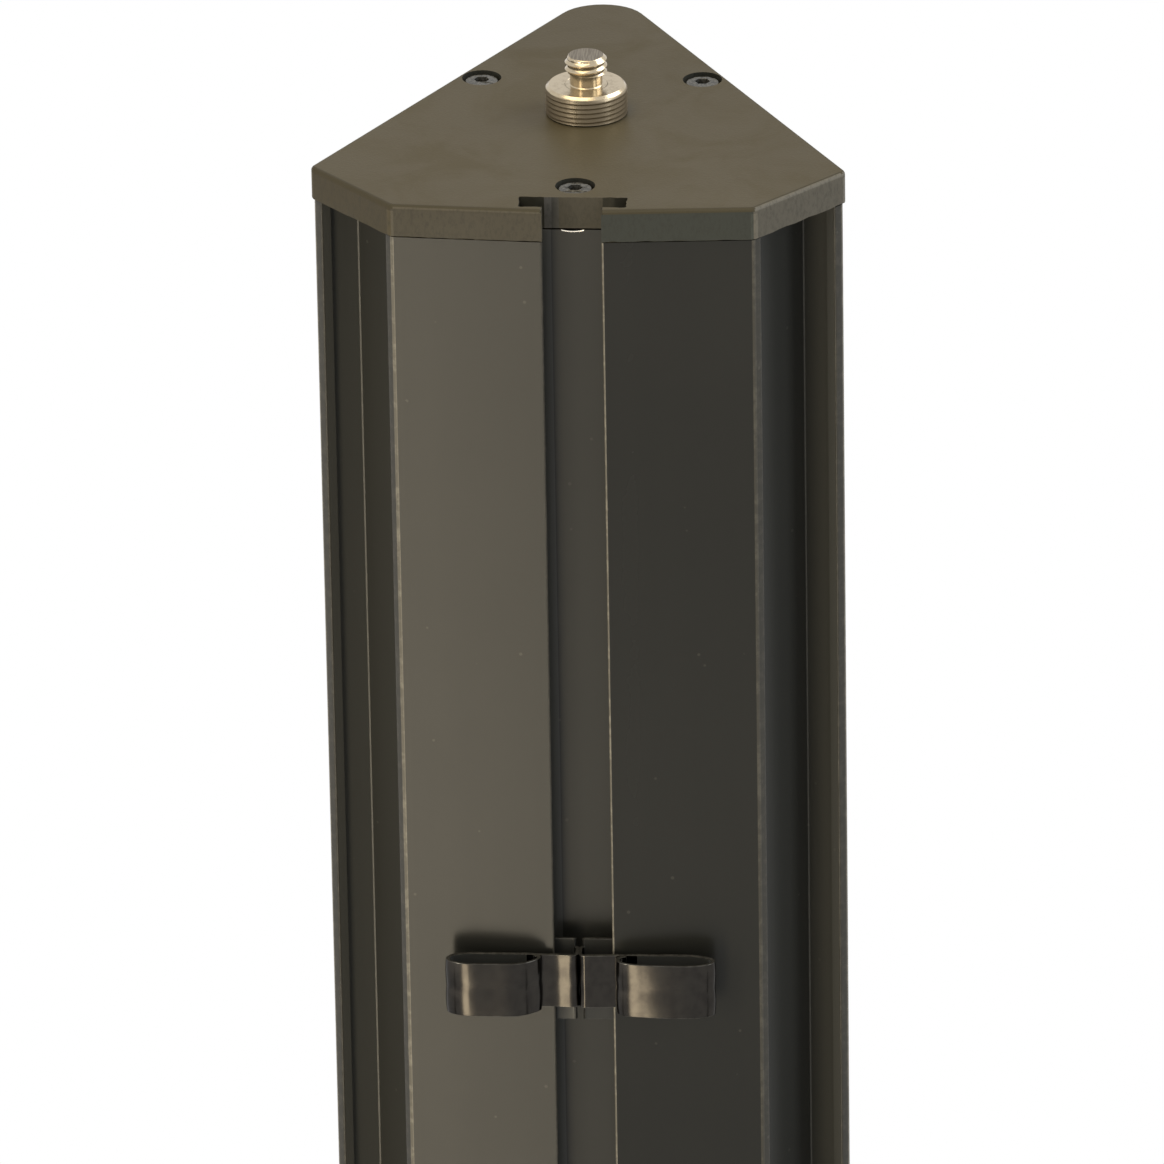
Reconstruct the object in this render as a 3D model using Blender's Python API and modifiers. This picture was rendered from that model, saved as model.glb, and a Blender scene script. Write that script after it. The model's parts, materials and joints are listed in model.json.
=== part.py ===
"""Column keyboard stand: a slotted column on folding legs, with two tiers of clamped, tilting arms.

Units are metres and +Z is up. The T slot faces -Y. A section point (x, y) is measured from the
middle of the line that joins the two front corners, with y going back.
"""

import math

import bmesh
import bpy
from mathutils import Matrix, Vector

MM = 0.001
DEG = math.pi / 180

# Fits
GAP = 0.3 * MM              # between pieces that touch, seat or slide
SIDE_PLAY = 0.4 * MM        # each side of a leg or arm between its ears
BEND_STEPS = 3              # segments in a rounded corner of an outline
ROUND_STEPS = 24            # sides of a turned piece
BOSS_STEPS = 5              # segments in a quarter turn or so of a screw port's wall

# Section of the cap and column
HALF_WIDTH = 51.5 * MM      # side corner, from the middle plane
FRONT_HALF_WIDTH = 34.8 * MM
CORNER_DEPTH = 18.9 * MM    # side corner, back from the front corner
FRONT_BULGE = 2.5 * MM      # middle of the front, forward of the front corners
SIDE_ANGLE = 28.3 * DEG     # between a long side and the middle plane
BACK_RADIUS = 8.9 * MM
CAP_OVERHANG = 0.5 * MM
WALL = 2.2 * MM
CORNER_RADIUS = 1.5 * MM
EDGE_RADIUS = 0.35 * MM

# T slot
NECK_WIDTH = 11.3 * MM
SLOT_WIDTH = 20.4 * MM
SLOT_BACK = 4.9 * MM        # back wall, behind the front corners
LIP_BACK = 0.2 * MM         # rear face of the lips, behind the front corners

# Corner channels, in the corner face's own frame: q along the face from the front corner, p inward
MOUTH_START = 2.0 * MM
MOUTH_WIDTH = 20.2 * MM
LIP_DEPTH = 2.2 * MM
UNDERCUT = 1.2 * MM
CHANNEL_DEPTH = 9.6 * MM

# Screw ports
PORT_BORE = 4.6 * MM
PORT_WALL = 1.9 * MM
FRONT_PORT_Y = 10.8 * MM
REAR_PORT_INSET = 4.4 * MM  # in from the cap's long side
REAR_PORT_Y = 65.3 * MM

# Heights
CAP_TOP = 1219.2 * MM       # 48 inches
CAP_THICK = 6.35 * MM
BASE_CLEARANCE = 10 * MM
BASE_THICK = 12 * MM

# Cap and column screws
SCREW_SHANK = 4.0 * MM
SCREW_LENGTH = 16 * MM
SCREW_HEAD = 7.0 * MM
SCREW_HEAD_TALL = 2.3 * MM
SCREW_SOCKET = 2.5 * MM     # across the flats
SOCKET_DEPTH = 1.3 * MM
COUNTERBORE_DEPTH = 4.3 * MM
COUNTERBORE_PLAY = 0.35 * MM

# Boom mount
BOOM_Y = 47.9 * MM
COLLAR_DIAMETER = 15.875 * MM
COLLAR_TALL = 5.7 * MM
STUD_DIAMETER = 8.2 * MM
STUD_NECK_DIAMETER = 6.6 * MM
STUD_NECK_TALL = 1.6 * MM
STUD_ABOVE_COLLAR = 6.0 * MM
STUD_BELOW_CAP = 12 * MM
WASHER_DIAMETER = 17 * MM
WASHER_THICK = 1.5 * MM
NUT_ACROSS = 13 * MM
NUT_TALL = 6.5 * MM
CHAMFER = 0.6 * MM

# Base casting
HUB_Y = 45 * MM             # where the legs' lines meet, behind the front corners
LEG_CLEARANCE = 2.2 * MM    # between a folded leg's foot and the column
REAR_LEG_ANGLE = 35 * DEG   # from straight back
LOBE_MARGIN = 2 * MM        # of the plate, each side of the ears
LOBE_PAST_PIVOT = 16 * MM
BASE_WAIST_MARGIN = 5 * MM  # of the plate, beside the column's long side
BASE_FRONT_Y = -9 * MM
BASE_BACK_MARGIN = 5 * MM
BASE_CORNER_RADIUS = 7 * MM
EAR_THICK = 6 * MM
EAR_RADIUS = 14 * MM
EAR_SINK = 1 * MM

# Legs
LEG_WIDE = 24 * MM
LEG_TALL = 34 * MM
LEG_WALL = 2 * MM
FRONT_LEG_LENGTH = 430 * MM
REAR_LEG_LENGTH = 400 * MM
KNUCKLE_LENGTH = 20 * MM    # from the pivot to the tube
SPIGOT_LENGTH = 35 * MM
TUBE_RADIUS = 3 * MM
FOOT_LENGTH = 42 * MM
FOOT_WALL = 2.5 * MM
FOOT_RADIUS = 1.6 * MM
PIN_DIAMETER = 8 * MM
PIN_HEAD = 13 * MM
PIN_HEAD_TALL = 2.6 * MM

# Arms
ARM_WIDE = 16 * MM
ARM_TALL = 30 * MM
ARM_WALL = 2 * MM
LOWER_ARM_LENGTH = 400 * MM
UPPER_ARM_LENGTH = 330 * MM
LOWER_ARM_HEIGHT = 600 * MM
UPPER_ARM_HEIGHT = 900 * MM
ARM_PIVOT_OUT = 22 * MM     # beyond the bracket plate
BRACKET_THICK = 6 * MM
BRACKET_BELOW = 22 * MM
BRACKET_ABOVE = 62 * MM
BRACKET_MARGIN = 0.8 * MM   # of the plate, each side of the ears
ARM_EAR_THICK = 3 * MM
ARM_EAR_RADIUS = 12 * MM
TONGUE_DEPTH = 1.9 * MM
CHANNEL_NUT_THICK = 4 * MM
CHANNEL_NUT_TALL = 50 * MM
KNOB_HEIGHT = 42 * MM       # above the arm's pivot
KNOB_RADIUS = 15 * MM
KNOB_LOBE = 1.7 * MM
KNOB_LOBES = 6
KNOB_THICK = 11 * MM
KNOB_HUB_RADIUS = 8 * MM
KNOB_HUB_TALL = 4 * MM
KNOB_SCREW = 6 * MM
KNOB_SCREW_PAST_NUT = 1.5 * MM
PAD_START = 60 * MM
PAD_END_MARGIN = 14 * MM
PAD_WIDE = 13 * MM
PAD_THICK = 3 * MM
END_CAP_THICK = 5 * MM
END_STOP_TALL = 20 * MM
END_PLUG_LENGTH = 20 * MM

# Cable clips
CLIP_TALL = 11.3 * MM
CLIP_THICK = 0.8 * MM
CLIP_STANDOFF = 1.0 * MM    # from the front of the lips to the back strand's middle
CLIP_LOOP_DEPTH = 5.9 * MM
CLIP_LEFT_OUTER_X = 26.8 * MM
CLIP_RIGHT_OUTER_X = 26.0 * MM
CLIP_INNER_X = 7.1 * MM
CLIP_LEG_X = -1.05 * MM     # the two legs' seam, in the slot's neck
CLIP_BEND = 1.2 * MM
LEG_OVERLAP = 0.1 * MM
TAB_TALL = 17.4 * MM
TAB_ABOVE_LOOP = 1.7 * MM
TAB_HALF_WIDTH = 8.8 * MM
TAB_SPLIT = 0.4 * MM
UPPER_CLIP_BELOW_CAP = 161.9 * MM
LOWER_CLIP_HEIGHT = 450 * MM

BLACK_ANODISED = ("black_anodised", (0.030, 0.030, 0.025), 0.42, 0.60)
BLACK_PLASTIC = ("black_plastic", (0.055, 0.050, 0.038), 0.55, 0.0)
NICKEL = ("nickel", (0.72, 0.66, 0.55), 0.22, 1.0)
DARK_STEEL = ("dark_steel", (0.050, 0.046, 0.042), 0.35, 0.9)
ZINC = ("zinc", (0.45, 0.45, 0.44), 0.35, 1.0)
CASTING = ("painted_casting", (0.022, 0.022, 0.020), 0.55, 0.2)
RUBBER = ("rubber", (0.018, 0.018, 0.018), 0.85, 0.0)
SATIN_TUBE = ("black_tube", (0.028, 0.028, 0.026), 0.38, 0.5)

PARTS = "keyboard_stand"
CUTTERS = "cutters"


def clear_scene():
    for obj in list(bpy.data.objects):
        bpy.data.objects.remove(obj)
    for name in (PARTS, CUTTERS):
        bpy.context.scene.collection.children.link(bpy.data.collections.new(name))


def material(finish):
    name, colour, roughness, metallic = finish
    made = bpy.data.materials.get(name)
    if made is None:
        made = bpy.data.materials.new(name)
        made.use_nodes = True
        shader = made.node_tree.nodes["Principled BSDF"]
        shader.inputs["Base Color"].default_value = (*colour, 1)
        shader.inputs["Roughness"].default_value = roughness
        shader.inputs["Metallic"].default_value = metallic
    return made


def part(name, mesh, finish, place=Matrix.Identity(4)):
    """A finished piece: its mesh, its own copy of the finish, and its place."""
    obj = bpy.data.objects.new(name, mesh)
    own = material(finish).copy()
    own.name = name + "_" + finish[0]
    if not mesh.materials:
        mesh.materials.append(own)
    obj.material_slots[0].link = "OBJECT"
    obj.material_slots[0].material = own
    obj.matrix_world = place
    bpy.data.collections[PARTS].objects.link(obj)
    return obj


def cutter(name, mesh, place=Matrix.Identity(4)):
    obj = bpy.data.objects.new(name, mesh)
    obj.matrix_world = place
    obj.hide_render = True
    obj.display_type = "WIRE"
    bpy.data.collections[CUTTERS].objects.link(obj)
    return obj


def evaluated_mesh(obj):
    """The object's mesh as the viewport shows it, with its loose caps welded."""
    bpy.context.view_layer.update()
    graph = bpy.context.evaluated_depsgraph_get()
    mesh = bpy.data.meshes.new_from_object(obj.evaluated_get(graph))
    work = bmesh.new()
    work.from_mesh(mesh)
    bmesh.ops.remove_doubles(work, verts=work.verts, dist=1e-6)
    work.to_mesh(mesh)
    work.free()
    return mesh


def combined(mesh, others, operation):
    """The mesh after a Boolean with each of the others, which are (mesh, place) pairs."""
    body = cutter("body_in_work", mesh)
    for number, (other, place) in enumerate(others):
        tool = cutter("tool_" + str(number), other, place)
        step = body.modifiers.new("boolean_" + str(number), "BOOLEAN")
        step.operation = operation
        step.solver = "EXACT"
        step.object = tool
    result = evaluated_mesh(body)
    for obj in list(bpy.data.collections[CUTTERS].objects):
        bpy.data.objects.remove(obj)
    result.shade_smooth()
    result.set_sharp_from_angle(angle=30 * DEG)
    return result


def cut(mesh, *others):
    return combined(mesh, others, "DIFFERENCE")


def joined(mesh, *others):
    return combined(mesh, others, "UNION")


def outline(loops, thick):
    """A flat outline, with any further loops as holes, from z = 0 up to its thickness."""
    curve = bpy.data.curves.new("outline", "CURVE")
    curve.dimensions = "2D"
    curve.fill_mode = "BOTH"
    curve.extrude = thick / 2
    for loop in loops:
        spline = curve.splines.new("POLY")
        spline.points.add(len(loop) - 1)
        for point, (x, y) in zip(spline.points, loop):
            point.co = (x, y, 0, 1)
        spline.use_cyclic_u = True
    obj = bpy.data.objects.new("outline", curve)
    bpy.context.scene.collection.objects.link(obj)
    mesh = evaluated_mesh(obj)
    bpy.data.objects.remove(obj)
    mesh.transform(Matrix.Translation((0, 0, thick / 2)))
    return mesh


def side_outline(loops, wide):
    """An outline drawn in x and z, centred on y = 0 and as wide as stated."""
    mesh = outline(loops, wide)
    mesh.transform(Matrix.Translation((0, wide / 2, 0)) @ Matrix.Rotation(90 * DEG, 4, "X"))
    return mesh


def end_outline(loops, start, end):
    """An outline drawn in y and z, run along x from start to end."""
    mesh = outline(loops, end - start)
    mesh.transform(Matrix(((0, 0, 1, start), (1, 0, 0, 0), (0, 1, 0, 0), (0, 0, 0, 1))))
    return mesh


def box(low, high, radius=0.0, steps=2):
    """A box from its low corner to its high one, its edges rounded if a radius is given."""
    work = bmesh.new()
    bmesh.ops.create_cube(work, size=1)
    size = Vector(high) - Vector(low)
    middle = (Vector(high) + Vector(low)) / 2
    bmesh.ops.scale(work, vec=size, verts=work.verts)
    if radius:
        bmesh.ops.bevel(work, geom=work.edges[:], offset=radius, segments=steps, affect="EDGES", profile=0.5)
    bmesh.ops.translate(work, vec=middle, verts=work.verts)
    mesh = bpy.data.meshes.new("box")
    work.to_mesh(mesh)
    work.free()
    return mesh


def turned(profile, steps=ROUND_STEPS, ring=False):
    """A profile of (radius, height) points, top to bottom, turned about Z. A ring closes on itself."""
    mesh = bpy.data.meshes.new("profile")
    count = len(profile)
    edges = [(n, n + 1) for n in range(count - 1)]
    if ring:
        edges.append((count - 1, 0))
    mesh.from_pydata([(radius, 0, height) for radius, height in profile], edges, [])
    obj = bpy.data.objects.new("profile", mesh)
    bpy.context.scene.collection.objects.link(obj)
    screw = obj.modifiers.new("turn", "SCREW")
    screw.steps = steps
    screw.render_steps = steps
    screw.use_merge_vertices = True
    screw.merge_threshold = 1e-5
    result = evaluated_mesh(obj)
    bpy.data.objects.remove(obj)
    result.shade_smooth()
    result.set_sharp_from_angle(angle=30 * DEG)
    return result


def rod(radius, low, high, steps=ROUND_STEPS):
    return turned([(0, high), (radius, high), (radius, low), (0, low)], steps)


def hexagon(across, low, high):
    radius = across / 2 / math.cos(30 * DEG)
    return turned([(0, high), (radius, high), (radius, low), (0, low)], 6)


def arc(centre, radius, start, end, steps):
    """Points on an arc from one angle to another, both ends included."""
    angles = [start + (end - start) * n / steps for n in range(steps + 1)]
    return [Vector((centre[0] + radius * math.cos(a), centre[1] + radius * math.sin(a))) for a in angles]


def circle(centre, diameter, steps=16):
    return arc(centre, diameter / 2, 0, 2 * math.pi * (1 - 1 / steps), steps - 1)


def rounded(corners, steps=BEND_STEPS):
    """A closed loop from (point, radius) corners, each corner rounded by its radius."""
    loop = []
    count = len(corners)
    for n, (point, radius) in enumerate(corners):
        before = (corners[n - 1][0] - point).normalized()
        after = (corners[(n + 1) % count][0] - point).normalized()
        if radius == 0:
            loop.append(point)
            continue
        half = before.angle(after) / 2
        reach = radius / math.tan(half)
        centre = point + (before + after).normalized() * (radius / math.sin(half))
        first = point + before * reach - centre
        turn = first.angle_signed(point + after * reach - centre)
        start = math.atan2(first.y, first.x)
        loop += arc(centre, radius, start, start - turn, steps)
    return loop


def meet(line, other):
    """Where two lines, each a (point, direction) pair, cross."""
    (a, along), (b, across) = line, other
    share = (b - a).cross(across) / along.cross(across)
    return a + along * share


def moved_in(line, distance):
    """The line moved to its left, which is inward on a right half drawn from front to back."""
    point, along = line
    return (point + Vector((-along.y, along.x)) * distance, along)


def mirrored(right_half):
    """The full loop from a right half drawn from front to back."""
    return right_half + [Vector((-p.x, p.y)) for p in reversed(right_half) if p.x > 1e-6]


def half_lines(inset):
    """The front, corner and side lines of the right half, moved in by the inset."""
    front_corner = Vector((FRONT_HALF_WIDTH, 0))
    side_corner = Vector((HALF_WIDTH, CORNER_DEPTH))
    front = (front_corner, Vector((FRONT_HALF_WIDTH, FRONT_BULGE)).normalized())
    corner = (side_corner, (side_corner - front_corner).normalized())
    side = (side_corner, Vector((-math.sin(SIDE_ANGLE), math.cos(SIDE_ANGLE))))
    return [moved_in(line, inset) for line in (front, corner, side)]


def back_centre():
    """Centre of the back radius, which touches both long sides."""
    side = moved_in(half_lines(0)[2], BACK_RADIUS)
    return meet(side, (Vector((0, 0)), Vector((0, 1))))


def back_arc(inset, steps=6):
    return arc(back_centre(), BACK_RADIUS - inset, SIDE_ANGLE, 90 * DEG, steps)


def front_at(x, inset):
    """The front face's y at an x on the right half."""
    return meet(half_lines(inset)[0], (Vector((x, 0)), Vector((0, 1)))).y


def slot_corners(inset):
    """The right half of the T slot, from its back wall out to the front face."""
    half = SLOT_WIDTH / 2
    neck = NECK_WIDTH / 2
    return [
        (Vector((half, SLOT_BACK)), 0),
        (Vector((half, LIP_BACK)), 0),
        (Vector((neck, LIP_BACK)), EDGE_RADIUS),
        (Vector((neck, front_at(neck, inset))), EDGE_RADIUS),
    ]


def with_back(corners, inset):
    """A full rounded loop: the right half's corners, the back arc and the mirrored half."""
    arc_points = back_arc(inset)
    left = [(Vector((-p.x, p.y)), radius) for p, radius in reversed(corners)]
    left_arc = [Vector((-p.x, p.y)) for p in reversed(arc_points[:-1])]
    return rounded(corners + [(p, 0) for p in arc_points + left_arc] + left)


def corner_frame():
    """The column's front corner, the direction along the corner face, and the direction inward."""
    front, corner = half_lines(CAP_OVERHANG)[:2]
    along = corner[1]
    return meet(front, corner), along, Vector((-along.y, along.x))


def in_channel(q, p):
    origin, along, inward = corner_frame()
    return origin + along * q + inward * p


def channel_middle():
    return in_channel(MOUTH_START + MOUTH_WIDTH / 2, 0)


def column_outline():
    front, corner, side = half_lines(CAP_OVERHANG)
    mouth_end = MOUTH_START + MOUTH_WIDTH
    channel = [
        (in_channel(MOUTH_START, 0), EDGE_RADIUS),
        (in_channel(MOUTH_START, LIP_DEPTH), 0),
        (in_channel(MOUTH_START - UNDERCUT, LIP_DEPTH), 0),
        (in_channel(MOUTH_START - UNDERCUT, CHANNEL_DEPTH), 0),
        (in_channel(mouth_end + UNDERCUT, CHANNEL_DEPTH), 0),
        (in_channel(mouth_end + UNDERCUT, LIP_DEPTH), 0),
        (in_channel(mouth_end, LIP_DEPTH), 0),
        (in_channel(mouth_end, 0), EDGE_RADIUS),
    ]
    corners = slot_corners(CAP_OVERHANG)
    corners.append((meet(front, corner), CORNER_RADIUS - CAP_OVERHANG))
    corners += channel
    corners.append((meet(corner, side), CORNER_RADIUS - CAP_OVERHANG))
    return with_back(corners, CAP_OVERHANG)


def rear_port():
    """The right rear screw port, beside the long wall."""
    return meet(half_lines(REAR_PORT_INSET)[2], (Vector((0, REAR_PORT_Y)), Vector((1, 0))))


def core_outline():
    """The column's hollow core, which goes round the three screw ports."""
    front, _, side = half_lines(CAP_OVERHANG + WALL)
    boss = PORT_BORE / 2 + PORT_WALL
    port = Vector((0, FRONT_PORT_Y))
    wall_y = SLOT_BACK + WALL
    dip = math.asin((wall_y - port.y) / boss)
    half = arc(port, boss, 90 * DEG, dip, BOSS_STEPS)
    slot_side = SLOT_WIDTH / 2 + WALL
    _, along, inward = corner_frame()
    web_q = MOUTH_START - UNDERCUT - WALL
    web_p = CHANNEL_DEPTH + WALL
    half += [
        Vector((slot_side, wall_y)),
        meet(front, (Vector((slot_side, 0)), Vector((0, 1)))),
        meet(front, (in_channel(web_q, 0), inward)),
        in_channel(web_q, web_p),
        meet(side, (in_channel(0, web_p), along)),
    ]
    port = rear_port()
    outward = Vector((side[1].y, -side[1].x))
    to_wall = (side[0] - port).dot(outward)
    swing = math.acos(to_wall / boss)
    facing = math.atan2(outward.y, outward.x)
    half += arc(port, boss, facing - swing, facing + swing - 2 * math.pi, 2 * BOSS_STEPS)
    half += back_arc(CAP_OVERHANG + WALL, 4)
    return mirrored(half)


def port_places():
    right = rear_port()
    return {
        "front": Vector((0, FRONT_PORT_Y)),
        "left": Vector((-right.x, right.y)),
        "right": right,
    }


def face_direction():
    """The right corner face's outward direction."""
    inward = corner_frame()[2]
    return Vector((-inward.x, -inward.y))


def rear_leg_direction():
    return Vector((math.sin(REAR_LEG_ANGLE), math.cos(REAR_LEG_ANGLE)))


def pivot_radius(way, wall):
    """How far from the hub a leg along a direction pivots, so that it folds up clear of a wall."""
    point, along = wall
    outward = Vector((along.y, -along.x))
    inner_side = LEG_TALL / 2 + GAP + FOOT_WALL
    half_wide = LEG_WIDE / 2 + GAP + FOOT_WALL
    to_wall = (point - Vector((0, HUB_Y))).dot(outward)
    skew = abs(way.cross(outward)) * half_wide
    return inner_side + (to_wall + LEG_CLEARANCE + skew) / way.dot(outward)


def front_pivot_radius():
    return pivot_radius(face_direction(), half_lines(CAP_OVERHANG)[1])


def rear_pivot_radius():
    return pivot_radius(rear_leg_direction(), half_lines(CAP_OVERHANG)[2])


def leg_reach(way, radius, length):
    """How far a leg's foot goes along Y from the hub."""
    end = radius + length + GAP + FOOT_WALL
    return end * abs(way.y) + (LEG_WIDE / 2 + GAP + FOOT_WALL) * abs(way.x)


def section_shift():
    """Moves section points so that the stand's box is centred on the origin."""
    front = leg_reach(face_direction(), front_pivot_radius(), FRONT_LEG_LENGTH)
    rear = leg_reach(rear_leg_direction(), rear_pivot_radius(), REAR_LEG_LENGTH)
    return Vector((0, (front - rear) / 2 - HUB_Y))


SHIFT = section_shift()
BASE_TOP = BASE_CLEARANCE + BASE_THICK
COLUMN_BOTTOM = BASE_TOP + GAP
CAP_BOTTOM = CAP_TOP - CAP_THICK
COLUMN_TOP = CAP_BOTTOM - GAP
LEG_PIVOT_HEIGHT = BASE_TOP + GAP + LEG_TALL / 2
PIN_HOLE = PIN_DIAMETER + 2 * GAP


def at_section(point, height):
    """World place of a section point at a height."""
    return Matrix.Translation((point[0] + SHIFT.x, point[1] + SHIFT.y, height))


def make_column():
    loops = [column_outline(), core_outline()]
    loops += [circle(place, PORT_BORE) for place in port_places().values()]
    mesh = outline(loops, COLUMN_TOP - COLUMN_BOTTOM)
    mesh.shade_smooth()
    mesh.set_sharp_from_angle(angle=30 * DEG)
    part("column", mesh, BLACK_ANODISED, at_section((0, 0), COLUMN_BOTTOM))


def counterbore(depth, plate_thick):
    """A stepped cutter whose wide end is above z = 0 and whose shank goes through the plate."""
    wide = SCREW_HEAD / 2 + COUNTERBORE_PLAY
    narrow = SCREW_SHANK / 2 + GAP
    past = 1 * MM
    profile = [(0, past), (wide, past), (wide, -depth), (narrow, -depth)]
    profile += [(narrow, -plate_thick - past), (0, -plate_thick - past)]
    return turned(profile)


def make_cap():
    front, corner, side = half_lines(0)
    corners = slot_corners(0)
    corners.append((meet(front, corner), CORNER_RADIUS))
    corners.append((meet(corner, side), CORNER_RADIUS))
    mesh = outline([with_back(corners, 0)], CAP_THICK)
    mesh.transform(Matrix.Translation((0, 0, -CAP_THICK)))
    cutters = [
        (counterbore(COUNTERBORE_DEPTH, CAP_THICK), Matrix.Translation((place.x, place.y, 0)))
        for place in port_places().values()
    ]
    stud_hole = rod(STUD_DIAMETER / 2 + GAP, -2 * CAP_THICK, CAP_THICK)
    cutters.append((stud_hole, Matrix.Translation((0, BOOM_Y, 0))))
    part("top_cap", cut(mesh, *cutters), BLACK_PLASTIC, at_section((0, 0), CAP_TOP))


def screw_mesh():
    """A socket screw with the underside of its head at z = 0."""
    head = SCREW_HEAD / 2
    shank = SCREW_SHANK / 2
    top = SCREW_HEAD_TALL
    edge = 0.4 * MM
    profile = [(0, top), (head - edge, top), (head, top - edge), (head, 0), (shank, 0)]
    profile += [(shank, -SCREW_LENGTH + edge), (shank - edge, -SCREW_LENGTH), (0, -SCREW_LENGTH)]
    socket = hexagon(SCREW_SOCKET, top - SOCKET_DEPTH, 2 * top)
    return cut(turned(profile), (socket, Matrix.Identity(4)))


def make_screws():
    mesh = screw_mesh()
    for name, place in port_places().items():
        seat = CAP_TOP - COUNTERBORE_DEPTH + GAP
        part("cap_screw_" + name, mesh, DARK_STEEL, at_section(place, seat))
        seat = BASE_CLEARANCE + COUNTERBORE_DEPTH - GAP
        upside_down = at_section(place, seat) @ Matrix.Rotation(math.pi, 4, "X")
        part("base_screw_" + name, mesh, ZINC, upside_down)


def make_boom_mount():
    bore = STUD_DIAMETER / 2 + GAP
    collar = COLLAR_DIAMETER / 2
    low, high = GAP, GAP + COLLAR_TALL
    rim = [(bore, high), (collar - CHAMFER, high), (collar, high - CHAMFER), (collar, low), (bore, low)]
    part("boom_collar", turned(rim, 40, ring=True), NICKEL, at_section((0, BOOM_Y), CAP_TOP))

    stud = STUD_DIAMETER / 2
    neck = STUD_NECK_DIAMETER / 2
    top = high + STUD_ABOVE_COLLAR
    bottom = -CAP_THICK - STUD_BELOW_CAP
    profile = [(0, top), (stud - CHAMFER, top), (stud, top - CHAMFER), (stud, high + STUD_NECK_TALL)]
    profile += [(neck, high + STUD_NECK_TALL), (neck, high), (stud, high)]
    profile += [(stud, bottom + CHAMFER), (stud - CHAMFER, bottom), (0, bottom)]
    part("boom_stud", turned(profile), NICKEL, at_section((0, BOOM_Y), CAP_TOP))

    high = -CAP_THICK - GAP
    low = high - WASHER_THICK
    wide = WASHER_DIAMETER / 2
    rim = [(bore, high), (wide, high), (wide, low), (bore, low)]
    part("boom_washer", turned(rim, ring=True), ZINC, at_section((0, BOOM_Y), CAP_TOP))

    high = low - GAP
    nut = cut(hexagon(NUT_ACROSS, high - NUT_TALL, high), (rod(bore, high - 2 * NUT_TALL, 0), Matrix.Identity(4)))
    part("boom_nut", nut, ZINC, at_section((0, BOOM_Y), CAP_TOP))


def leg_settings():
    """Each leg's name, direction, pivot radius and length."""
    outward = face_direction()
    rear = rear_leg_direction()
    settings = []
    for side, sign in (("left", -1), ("right", 1)):
        front_way = Vector((sign * outward.x, outward.y))
        rear_way = Vector((sign * rear.x, rear.y))
        settings.append(("front_" + side, front_way, front_pivot_radius(), FRONT_LEG_LENGTH))
        settings.append(("rear_" + side, rear_way, rear_pivot_radius(), REAR_LEG_LENGTH))
    return settings


def facing(point, way, height):
    """A place at a section point whose local +X looks along a direction."""
    return at_section(point, height) @ Matrix.Rotation(math.atan2(way.y, way.x), 4, "Z")


def base_outline():
    hub = Vector((0, HUB_Y))
    outward = face_direction()
    rear = rear_leg_direction()
    across_front = Vector((-outward.y, outward.x))
    across_rear = Vector((rear.y, -rear.x))
    front_end = hub + outward * (front_pivot_radius() + LOBE_PAST_PIVOT)
    rear_end = hub + rear * (rear_pivot_radius() + LOBE_PAST_PIVOT)
    half_lobe = LEG_WIDE / 2 + SIDE_PLAY + EAR_THICK + LOBE_MARGIN
    waist_x = half_lines(-BASE_WAIST_MARGIN)[2]
    waist = meet(waist_x, (Vector((0, HUB_Y)), Vector((1, 0))))
    right = [
        (Vector((0, BASE_FRONT_Y)), 0),
        (front_end - across_front * half_lobe, BASE_CORNER_RADIUS),
        (front_end + across_front * half_lobe, BASE_CORNER_RADIUS),
        (waist, BASE_CORNER_RADIUS),
        (rear_end + across_rear * half_lobe, BASE_CORNER_RADIUS),
        (rear_end - across_rear * half_lobe, BASE_CORNER_RADIUS),
        (back_centre() + Vector((0, BACK_RADIUS + BASE_BACK_MARGIN)), 0),
    ]
    left = [(Vector((-p.x, p.y)), radius) for p, radius in reversed(right[1:-1])]
    return rounded(right + left)


def make_base():
    plate = outline([base_outline()], BASE_THICK)
    plate.transform(Matrix.Translation((0, 0, BASE_CLEARANCE)))
    foot = -LEG_TALL / 2 - GAP - EAR_SINK
    ear = arc((0, 0), EAR_RADIUS, 0, math.pi, 10) + [Vector((-EAR_RADIUS, foot)), Vector((EAR_RADIUS, foot))]
    ear_mesh = side_outline([ear, circle((0, 0), PIN_HOLE)], EAR_THICK)
    ears = []
    for name, way, radius, length in leg_settings():
        pivot = Vector((0, HUB_Y)) + way * radius
        turn = Matrix.Rotation(math.atan2(way.y, way.x), 4, "Z")
        for sign in (-1, 1):
            aside = sign * (LEG_WIDE / 2 + SIDE_PLAY + EAR_THICK / 2)
            place = Matrix.Translation((pivot.x, pivot.y, LEG_PIVOT_HEIGHT)) @ turn
            ears.append((ear_mesh, place @ Matrix.Translation((0, aside, 0))))
    body = joined(plate, *ears)
    holes = []
    for place in port_places().values():
        upside_down = Matrix.Translation((place.x, place.y, BASE_CLEARANCE)) @ Matrix.Rotation(math.pi, 4, "X")
        holes.append((counterbore(COUNTERBORE_DEPTH, BASE_THICK), upside_down))
    part("base_casting", cut(body, *holes), CASTING, at_section((0, 0), 0))


def tube_loops(wide, tall, wall):
    """The outer and inner loops of a rounded rectangular tube."""
    loops = []
    for inset in (0, wall):
        y = wide / 2 - inset
        z = tall / 2 - inset
        radius = TUBE_RADIUS - inset
        loops.append(rounded([(Vector(p), radius) for p in ((-y, -z), (y, -z), (y, z), (-y, z))], 2))
    return loops


def pivot_pin_mesh(across):
    """A pin with a head at each end, along Y, that spans the width across."""
    shank = PIN_DIAMETER / 2
    head = PIN_HEAD / 2
    edge = 0.6 * MM
    inner = across / 2 + GAP
    outer = inner + PIN_HEAD_TALL
    half = [(0, outer), (head - 2 * edge, outer), (head, outer - edge), (head, inner), (shank, inner)]
    profile = half + [(radius, -height) for radius, height in reversed(half)]
    mesh = turned(profile, 20)
    mesh.transform(Matrix.Rotation(90 * DEG, 4, "X"))
    return mesh


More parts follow.
